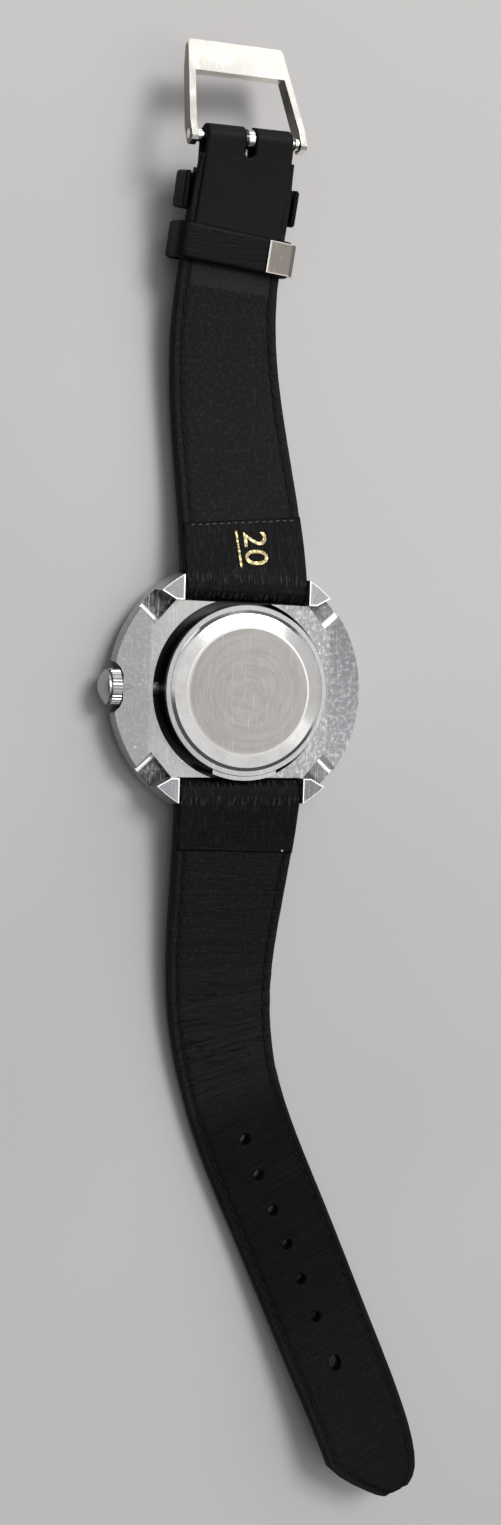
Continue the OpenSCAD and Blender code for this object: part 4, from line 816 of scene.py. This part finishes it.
# A closed tube through the given rings, its lay in strap lengths
def ringTube(name, route, stations, rings, mat):
    count = len(rings[0])

    def shape(i, j):
        return onStrap(route, stations[i], *rings[i][j % count])

    def lay(i, j):
        return stations[i] * mm, sum(rings[i][j % count]) * mm

    def border(i, j):
        u, sides = rings[i][j % count][0], [point[0] for point in rings[i]]
        return min(max(sides) - u, u - min(sides)) * mm

    return bentTube(name, len(stations) - 1, count, mat, shape, lay, border)


def crease(s, u, seed):
    long, short = Vector((s * 0.42, u * 0.05, seed)), Vector((s * 1.3, u * 0.12, seed))
    return noise.noise(long) + 0.5 * noise.noise(short)


buckleStrap = {"start": 2.45, "outerEnd": 61.2, "liningEnd": 63.5, "pin": 66.0, "tabEnd": 10.4,
               "waves": 0.05}
holeStrap = {"start": 2.45, "tabEnd": 9.2, "tipStart": 112.0, "radius": 1.0, "drift": -0.55,
             "holes": [56.3, 62.7, 69.2, 75.4, 81.8, 88.6, 97.1], "stretch": (0.85, 0.95),
             "lastStretch": (1.05, 1.4)}
tubeSteps = {"outerStart": 0.3, "outer": 0.8, "lining": 0.45, "tip": 0.3}


def outerTube(name, route, end, tip):
    stations = stationsFrom(tubeSteps["outerStart"], end, tubeSteps["outer"]) + tip
    rings = [outerRing(route["half"](s), topOf(route, s), lowOf(route, s), *route["cuts"](s))
             for s in stations]
    return ringTube(name, route, stations, rings, leathers["outer"])


def liningTube(name, route, start, end, tip, waves, mat):
    stations = stationsFrom(start, end, tubeSteps["lining"]) + tip
    rings = [liningRing(route["half"](s), topOf(route, s), *route["cuts"](s), waves(s)) for s in stations]
    return ringTube(name, route, stations, rings, mat)


def buckleWaves(s):
    return buckleStrap["waves"] * crease(s, 0, 3.0)


def holeWaves(s):
    return (0.06 + 0.07 * math.exp(-((s - 32) / 12) ** 2)) * crease(s, 0, 8.0)


tipStations = stationsFrom(holeStrap["tipStart"] + 0.4, widths["tipEnd"] - 0.05, tubeSteps["tip"])
buckleOuter = outerTube("buckleStrapOuter", buckleRoute, buckleStrap["outerEnd"], [])
buckleLining = liningTube("buckleStrapLining", buckleRoute, buckleStrap["start"], buckleStrap["liningEnd"],
                          [], buckleWaves, leathers["lining"])
holeOuter = outerTube("holeStrapOuter", holeRoute, holeStrap["tipStart"], tipStations)
holeLining = liningTube("holeStrapLining", holeRoute, holeStrap["start"], holeStrap["tipStart"],
                        tipStations, holeWaves, leathers["lowLining"])


def applyCut(obj, cutterMesh):
    cutter = finishMesh(cutterMesh, "cutter", leathers["outer"])
    cut = obj.modifiers.new("cut", "BOOLEAN")
    cut.operation, cut.solver, cut.object = "DIFFERENCE", "EXACT", cutter
    bpy.context.view_layer.update()
    evaluated = obj.evaluated_get(bpy.context.evaluated_depsgraph_get())
    mesh = bpy.data.meshes.new_from_object(evaluated)
    obj.modifiers.clear()
    obj.data = mesh
    bpy.data.objects.remove(cutter)


# A turned shape of a bmesh: its own axes go to the three ways, its middle to the spot
def placeShape(bm, made, ways, spot, scale=1.0):
    turned = Matrix(ways).transposed().to_4x4()
    bmesh.ops.transform(bm, matrix=Matrix.Scale(scale, 4) @ Matrix.Translation(spot) @ turned,
                        verts=made["verts"])


# Round holes through both leathers, the last one stretched by wear
def holePunch():
    bm = bmesh.new()
    for k, s in enumerate(holeStrap["holes"]):
        spot, along, across, over = placeOn(holeRoute, s)
        wide, long = holeStrap["lastStretch" if k == len(holeStrap["holes"]) - 1 else "stretch"]
        made = bmesh.ops.create_cone(bm, cap_ends=True, segments=24, radius1=holeStrap["radius"] * mm,
                                     radius2=holeStrap["radius"] * mm, depth=8 * mm)
        placeShape(bm, made, (across * wide, along * long, over), (spot + across * holeStrap["drift"]) * mm)
    bmesh.ops.recalc_face_normals(bm, faces=bm.faces)
    return bm


applyCut(holeOuter, holePunch())
applyCut(holeLining, holePunch())
print("strap bodies made")


# Section of a leather band, rounded on its outer side
def bandSection(half, thick, across):
    points, curve = [], min(0.4, thick / 2)
    for k in range(across + 1):
        t = 2 * k / across - 1
        u = math.copysign(abs(t) ** 0.8, t) * half
        edge = max(0.0, abs(u) - (half - curve)) / curve
        points.append((u, -curve * (1 - math.sqrt(max(0.0, 1 - edge * edge)))))
    points.append((half - 0.02, -thick + 0.05))
    points += [(half * x, -thick) for x in (0.97, 0.5, 0.0, -0.5, -0.97)]
    return points + [(-half + 0.02, -thick + 0.05)]


# Each stop of a band: (middle of its outer face, way outwards, way sideways, half width, thickness), in mm
def band(name, stops, mat, across, waves=lambda run, u: 0.0, begin=0.0):
    sections = [bandSection(stop[3], stop[4], across) for stop in stops]
    count, lengths = len(sections[0]), [begin]
    for a, b in zip(stops, stops[1:]):
        lengths.append(lengths[-1] + (b[0] - a[0]).length)

    def shape(i, j):
        middle, outwards, sideways = stops[i][:3]
        u, v = sections[i][j % count]
        rise = waves(lengths[i], u) if j % count <= across else 0.0
        return (middle + sideways * u + outwards * (v + rise)) * mm

    def lay(i, j):
        return lengths[i] * mm, sum(sections[i][j % count]) * mm

    return bentTube(name, len(stops) - 1, count, mat, shape, lay)


# A flat path with eased corners, as (point, tangent) pairs
def easedPath(corners, ease, step, closed=False):
    points, n = [], len(corners)
    for k, (x, y) in enumerate(corners):
        here = Vector((x, y))
        if ease == 0 or (not closed and k in (0, n - 1)):
            points.append(here)
            continue
        a, b = (here + (other - here).normalized() * min(ease, (other - here).length * 0.45)
                for other in (Vector(corners[k - 1]), Vector(corners[(k + 1) % n])))
        for m in range(7):
            t = m / 6
            points.append(a * (1 - t) ** 2 + here * 2 * t * (1 - t) + b * t * t)
    if closed:
        points.append(points[0].copy())
    dense = [points[0]]
    for a, b in zip(points, points[1:]):
        parts = max(1, round((b - a).length / step))
        dense += [a.lerp(b, (m + 1) / parts) for m in range(parts)]
    out = []
    for k, point in enumerate(dense):
        before = dense[k - 1] if k else dense[-2 if closed else 0]
        after = dense[k + 1] if k < len(dense) - 1 else dense[1 if closed else -1]
        out.append((point, (after - before).normalized()))
    return out


# Stops of a band that runs lengthwise in (s, v) of a strap; turn is +1 or -1 for its outer side
def lengthwise(route, path, half, thick, turn):
    stops = []
    for k, (point, tangent) in enumerate(path):
        spot, along, across, over = placeOn(route, point.x)
        outwards = (over * tangent.x - along * tangent.y) * turn
        stops.append((spot + over * point.y, outwards, across, half(point.x), thick(k / (len(path) - 1))))
    return stops


# Stops of a band that runs round the strap in (u, v) at one station
def crosswise(route, s, path, half, thick):
    spot, along, across, over = placeOn(route, s)
    return [(spot + across * point.x + over * point.y, across * tangent.y - over * tangent.x, along,
             half, thick) for point, tangent in path]


def roundEnd(centre, radius, sense, parts=18):
    angles = [math.pi * k / parts for k in range(parts + 1)]
    return [(centre - sense * radius * math.sin(a), -radius * math.cos(a)) for a in angles]


# Folded tab over each spring bar, from under the strap round the bar and back on top
lugFold = {"radius": 1.83, "under": 0.9, "begin": 4.1, "rise": 0.16, "thick": 0.5, "widest": 9.83,
           "across": 40, "puckersAt": 11.5}


def tabThick(t):
    return lugFold["thick"] * (1.0 if t < 0.5 else 1.0 - 0.64 * (t - 0.5))


def tabWaves(run, u):
    puckers = noise.noise(Vector((run * 0.5, u * 1.6, 2.0)))
    return (0.012 * crease(run * 0.6, u, 5.0)
            + 0.03 * puckers * math.exp(-((run - lugFold["puckersAt"]) / 2.2) ** 2))


def lugTab(name, route, end):
    curve = [(s, lowOf(route, s) - 0.03) for s in stationsFrom(lugFold["under"], 0.6, 0.6)]
    curve += roundEnd(0.0, lugFold["radius"], 1)
    curve += [(s, topOf(route, s) + lugFold["rise"]) for s in stationsFrom(0.6, end, 0.4)]
    stops = lengthwise(route, easedPath(curve, 0.0, 0.45),
                       lambda s: min(lugFold["widest"], halfAt(max(s, 0.0)) + 0.02), tabThick, 1)
    return band(name, stops, leathers["tab"], lugFold["across"], tabWaves, lugFold["begin"])


buckleTab = lugTab("buckleStrapTab", buckleRoute, buckleStrap["tabEnd"])
holeTab = lugTab("holeStrapTab", holeRoute, holeStrap["tabEnd"])

# Folded end over the buckle pin, slotted for the tongue
flap = {"under": 58.6, "end": 52.9, "radius": 1.66, "rise": [(52.9, 0.17), (56.0, 0.30)], "slot": 0.9,
        "slotTop": 2.4, "slotLow": 4.6, "half": 7.0, "across": 34,
        "wavy": [(52, 0.0), (56, 0.06), (60, 0.0), (65, -0.05), (68, -0.1)],
        "thick": 0.5, "thickAtPin": 0.85, "thickOnTop": 0.42, "pinPart": (0.28, 0.52)}


def flapHalf(s):
    return flap["half"] + between(flap["wavy"], s)


def flapThick(t):
    start, end = flap["pinPart"]
    if start < t < end:
        return flap["thickAtPin"]
    return flap["thick"] if t < start else flap["thickOnTop"] - 0.2 * (t - end)


def flapWaves(run, u):
    return 0.03 * crease(run * 0.35, u * 2.0, 9.0)


def buckleFlap():
    route, pin = buckleRoute, buckleStrap["pin"]
    curve = [(s, lowOf(route, s) - 0.04) for s in stationsFrom(flap["under"], pin - 0.4, 0.5)]
    curve += roundEnd(pin, flap["radius"], -1)
    curve += [(s, topOf(route, s) + between(flap["rise"], s) * min(1.0, (pin - s) / 2.5))
              for s in stationsFrom(pin - 0.4, flap["end"], 0.4)]
    stops = lengthwise(route, easedPath(curve, 0.0, 0.4), flapHalf, flapThick, -1)
    return band("buckleStrapFlap", stops, leathers["flap"], flap["across"], flapWaves)


# Slot with a round end, from height low to high over the pin
def slotCutter(reach, high, low):
    bm = bmesh.new()
    spot, along, across, over = placeOn(buckleRoute, buckleStrap["pin"])
    made = bmesh.ops.create_cone(bm, cap_ends=True, segments=24, radius1=flap["slot"], radius2=flap["slot"],
                                 depth=high - low)
    for vert in made["verts"]:
        if vert.co.y > 0.01:
            vert.co.y = reach + 3.0 - flap["slot"]
    middle = spot + along * (flap["slot"] - reach) + over * (high + low) / 2
    placeShape(bm, made, (across, along, over), middle, mm)
    bmesh.ops.recalc_face_normals(bm, faces=bm.faces)
    return bm


strapFlap = buckleFlap()
applyCut(strapFlap, slotCutter(flap["slotTop"], 3.0, -0.05))
applyCut(strapFlap, slotCutter(flap["slotLow"], 0.05, -3.0))

keepers = {"wide": 5.2, "thick": 0.9, "leather": 0.66, "gap": 2.2, "side": 0.35, "freeSide": 0.45,
           "over": 0.5, "fixedAt": 57.8, "freeAt": 50.6, "fixedEase": 1.5, "freeEase": 1.9, "across": 14}


# The fixed keeper's ends are sewn in at the sides, the free keeper's ring is closed on top
def keeperBand(name, s, side, rise, ease, closed):
    half = halfAt(s) + side + keepers["thick"]
    low = lowOf(buckleRoute, s) - keepers["gap"] - keepers["thick"]
    top = topOf(buckleRoute, s) + rise
    corners = [(-half, top), (-half, low), (half, low), (half, top)]
    if closed:
        corners = [(0.0, top), *corners[:2], (0.0, low), *corners[2:]]
    stops = crosswise(buckleRoute, s, easedPath(corners, ease, 0.5, closed), keepers["wide"] / 2,
                      keepers["leather"])
    return band(name, stops, leathers["keeper"], keepers["across"])


fixedBand = keeperBand("fixedKeeper", keepers["fixedAt"], keepers["side"], 0.38 - lining["thick"],
                       keepers["fixedEase"], False)
freeBand = keeperBand("freeKeeper", keepers["freeAt"], keepers["freeSide"],
                      keepers["over"] + keepers["thick"] - 0.2, keepers["freeEase"], True)


# How far a point of a piece lies from a spot on the strap, along one direction, in metres
def wayAlong(place, spot, direction):
    made = addNode(place.tree, "ShaderNodeVectorMath", {0: place, 1: direction}, operation="DOT_PRODUCT")
    return Field(made.outputs["Value"]) - spot.dot(direction) * mm


# Keeper clip: dull face with polished edges painted bright as their highlight, the widest at its inner end
clip = {"inner": 4.88, "reach": 2.3, "edge": 0.42, "side": 0.24, "face": (0.17, 0.152, 0.135),
        "worn": (0.4, 0.38, 0.36), "polished": (0.62, 0.60, 0.57)}


def clipSteel():
    mat, place, wear = newSteel("clipSteel", specks=0.1, scratches=0.35, clouds=0.5)
    spot, along, across, over = placeOn(buckleRoute, keepers["freeAt"])
    end = fall(wayAlong(place, spot, across), clip["inner"] * mm, (clip["inner"] + clip["edge"]) * mm)
    sides = ramp(abs(wayAlong(place, spot, along)), (clip["reach"] - clip["side"]) * mm,
                 clip["reach"] * mm, 0.0, 0.7)
    # the inner end and the sides are painted pale: painted highlight on the polished edges
    base = painted(blend(wear["Light"], clip["face"], clip["worn"]), (larger(end, sides), clip["polished"]))
    return dressSteel(mat, wear, base, 0.18)


# Buckle tongue: bright, its hub dark on the side that lies in the slot's shade
tongue = {"bright": (0.80, 0.79, 0.77), "worn": (1.0, 1.0, 1.0), "shaded": (0.02, 0.02, 0.02),
          "hub": (0.0014, 0.0022), "shadeEdge": (-0.0003, -0.0001)}


def tongueSteel():
    mat, place, wear = newSteel("tongueSteel", clouds=0.4)
    spot, along, across, over = placeOn(buckleRoute, buckleStrap["pin"])
    hub = fall(abs(wayAlong(place, spot, along)), *tongue["hub"])
    shade = fall(wayAlong(place, spot, across), *tongue["shadeEdge"], 0.95)
    base = painted(blend(wear["Light"], tongue["bright"], tongue["worn"]), (hub * shade, tongue["shaded"]))
    return dressSteel(mat, wear, base, 0.16)


give(clipSteel(), "keeper_clip")
give(tongueSteel(), "buckle_tongue")
print("folds and keepers made")


# Stitches lie a little askew from place to place
def stitchRow(bm, route, places, length, thick):
    for (s1, u1, v1), (s2, u2, v2) in zip(places, places[1:]):
        a, b = onStrap(route, s1, u1, v1), onStrap(route, s2, u2, v2)
        over = placeOn(route, s1)[3]
        askew = Quaternion(over, 0.10 + 0.08 * noise.noise(Vector((s1, u1, 1.0)))) @ (b - a).normalized()
        side = over.cross(askew).normalized()
        made = bmesh.ops.create_uvsphere(bm, u_segments=8, v_segments=6, radius=0.5 * mm)
        placeShape(bm, made, (askew * length, side * thick * 1.4, over * thick), (a + b) / 2)


def edgeStitches(name, route, start, end):
    bm = bmesh.new()
    half, cuts = route["half"], route["cuts"]
    count = round((end - start) / stitchLine["pitch"])
    for side in (-1, 1):
        for face in (1, -1):
            places = []
            for k in range(count + 1):
                s = start + (end - start) * k / count
                u = side * (half(s) - cuts(s)[0 if side < 0 else 1] - stitchLine["inset"])
                top, low = topOf(route, s), lowOf(route, s)
                under = outerUnder(u, half(s), outerEdge(top, low), low) + 0.04
                places.append((s, u, top - 0.06 if face > 0 else under))
            stitchRow(bm, route, places, stitchLine["length"], stitchLine["thread"])
    return finishMesh(bm, name, leathers["thread"])


def seamStitches(name, route, tabEnd, length, thick, mat, pitch=1.15):
    bm = bmesh.new()
    s = tabEnd - 0.45
    half, v = halfAt(s) - 1.0, topOf(route, s) + lugFold["rise"]
    count = round(2 * half / pitch)
    places = [(s + 0.06 * math.sin(k * 2.1), -half + 2 * half * k / count, v) for k in range(count + 1)]
    stitchRow(bm, route, places, length, thick)
    return finishMesh(bm, name, mat)


buckleStitches = edgeStitches("buckleStrapStitches", buckleRoute, 12.0, 52.0)
holeStitches = edgeStitches("holeStrapStitches", holeRoute, 10.6, 117.0)
buckleSeam = seamStitches("buckleTabSeam", buckleRoute, buckleStrap["tabEnd"], 0.75, 0.15,
                          leathers["paleThread"])
holeSeam = seamStitches("holeTabSeam", holeRoute, holeStrap["tabEnd"], 0.8, 0.14, leathers["thread"])

# Loose end of the seam's thread
knot = {"s": 8.8, "u": 7.7, "size": 0.34, "rise": 0.05}


def threadEnd():
    bm = bmesh.new()
    bmesh.ops.create_uvsphere(bm, u_segments=10, v_segments=6, radius=knot["size"] / 2 * mm)
    top = topOf(holeRoute, knot["s"]) + lugFold["rise"] + knot["rise"]
    bmesh.ops.translate(bm, vec=onStrap(holeRoute, knot["s"], knot["u"], top), verts=bm.verts)
    return finishMesh(bm, "holeSeamThreadEnd", leathers["threadEnd"])


holeKnot = threadEnd()

# The strap's width in mm, stamped in gold and underlined; the line's ends are (s, u)
mark = {"digits": "20", "start": 8.62, "foot": -0.12, "size": 5.25, "spacing": 1.05, "rise": 0.19,
        "thick": 0.03, "line": [(8.72, -1.28), (3.0, -0.88)], "lineWide": 0.32}


def digitMesh():
    text = bpy.data.curves.new("digits", "FONT")
    text.body, text.size = mark["digits"], mark["size"]
    text.space_character, text.extrude = mark["spacing"], mark["thick"]
    holder = newObject("digits", text)
    bpy.context.view_layer.update()
    mesh = bpy.data.meshes.new_from_object(holder.evaluated_get(bpy.context.evaluated_depsgraph_get()))
    bpy.data.objects.remove(holder)
    return mesh


def widthMark():
    bm = bmesh.new()
    bm.from_mesh(digitMesh())
    bmesh.ops.remove_doubles(bm, verts=bm.verts, dist=0.0005)
    bmesh.ops.subdivide_edges(bm, edges=[e for e in bm.edges if e.calc_length() > 0.6], cuts=2)
    bmesh.ops.triangulate(bm, faces=bm.faces)
    (s1, u1), (s2, u2) = mark["line"]
    line = bmesh.ops.create_grid(bm, x_segments=10, y_segments=1, size=0.5)["verts"]
    for vert in line:
        t = vert.co.x + 0.5
        vert.co = (mark["start"] - (s1 + (s2 - s1) * t),
                   u1 + (u2 - u1) * t + vert.co.y * mark["lineWide"] - mark["foot"], mark["thick"])
    lower = bmesh.ops.extrude_face_region(bm, geom=[f for f in bm.faces if all(v in line for v in f.verts)])
    bmesh.ops.translate(bm, vec=(0, 0, -2 * mark["thick"]),
                        verts=[g for g in lower["geom"] if isinstance(g, bmesh.types.BMVert)])
    bmesh.ops.recalc_face_normals(bm, faces=bm.faces)
    sheet = bm.loops.layers.uv.new("lay")
    for face in bm.faces:
        for loop in face.loops:
            loop[sheet].uv = (loop.vert.co.x * mm, loop.vert.co.y * mm)
    for vert in bm.verts:
        s, u = mark["start"] - vert.co.x, mark["foot"] + vert.co.y
        vert.co = onStrap(buckleRoute, s, u, topOf(buckleRoute, s) + mark["rise"] + vert.co.z)
    return finishMesh(bm, "widthMark", leathers["gold"], smooth=False)


number = widthMark()
print("stitches and number made")

for body, slotName, pieces in (
        ("strap_12", "black_leather", [buckleOuter, buckleTab, strapFlap, fixedBand, buckleStitches,
                                       buckleSeam, number]),
        ("strap_12", "lining_leather", [buckleLining]), ("free_keeper", "black_leather", [freeBand]),
        ("strap_6", "black_leather", [holeOuter, holeTab, holeStitches, holeSeam, holeKnot]),
        ("strap_6", "lining_leather", [holeLining])):
    for piece in pieces:
        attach(piece, body)
for piece, node in ((buckleOuter, "buckle_strap_leather"), (buckleLining, "buckle_strap_lining"),
                    (holeOuter, "hole_strap_leather"), (holeLining, "hole_strap_lining"),
                    (fixedBand, "fixed_keeper"), (freeBand, "free_keeper")):
    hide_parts(node)

table = {"colour": (0.575, 0.56, 0.552), "shade": (0.53, 0.515, 0.508), "half": 0.9, "gap": 0.04}


def tableFinish():
    mat, place = newMaterial("tableTop")
    clouds = ramp(noiseAt(place, 9.0), 0.3, 0.7)
    return dress(mat, None, colour=blend(clouds, table["colour"], table["shade"]), rough=0.55, shine=0.3)


bm = bmesh.new()
bmesh.ops.create_grid(bm, x_segments=4, y_segments=4, size=table["half"])
floor = finishMesh(bm, "tableTop", tableFinish(), smooth=False)
floor.location.z = min(0.0, solidsBox[0][2]) - table["gap"] * mm
print("table set")
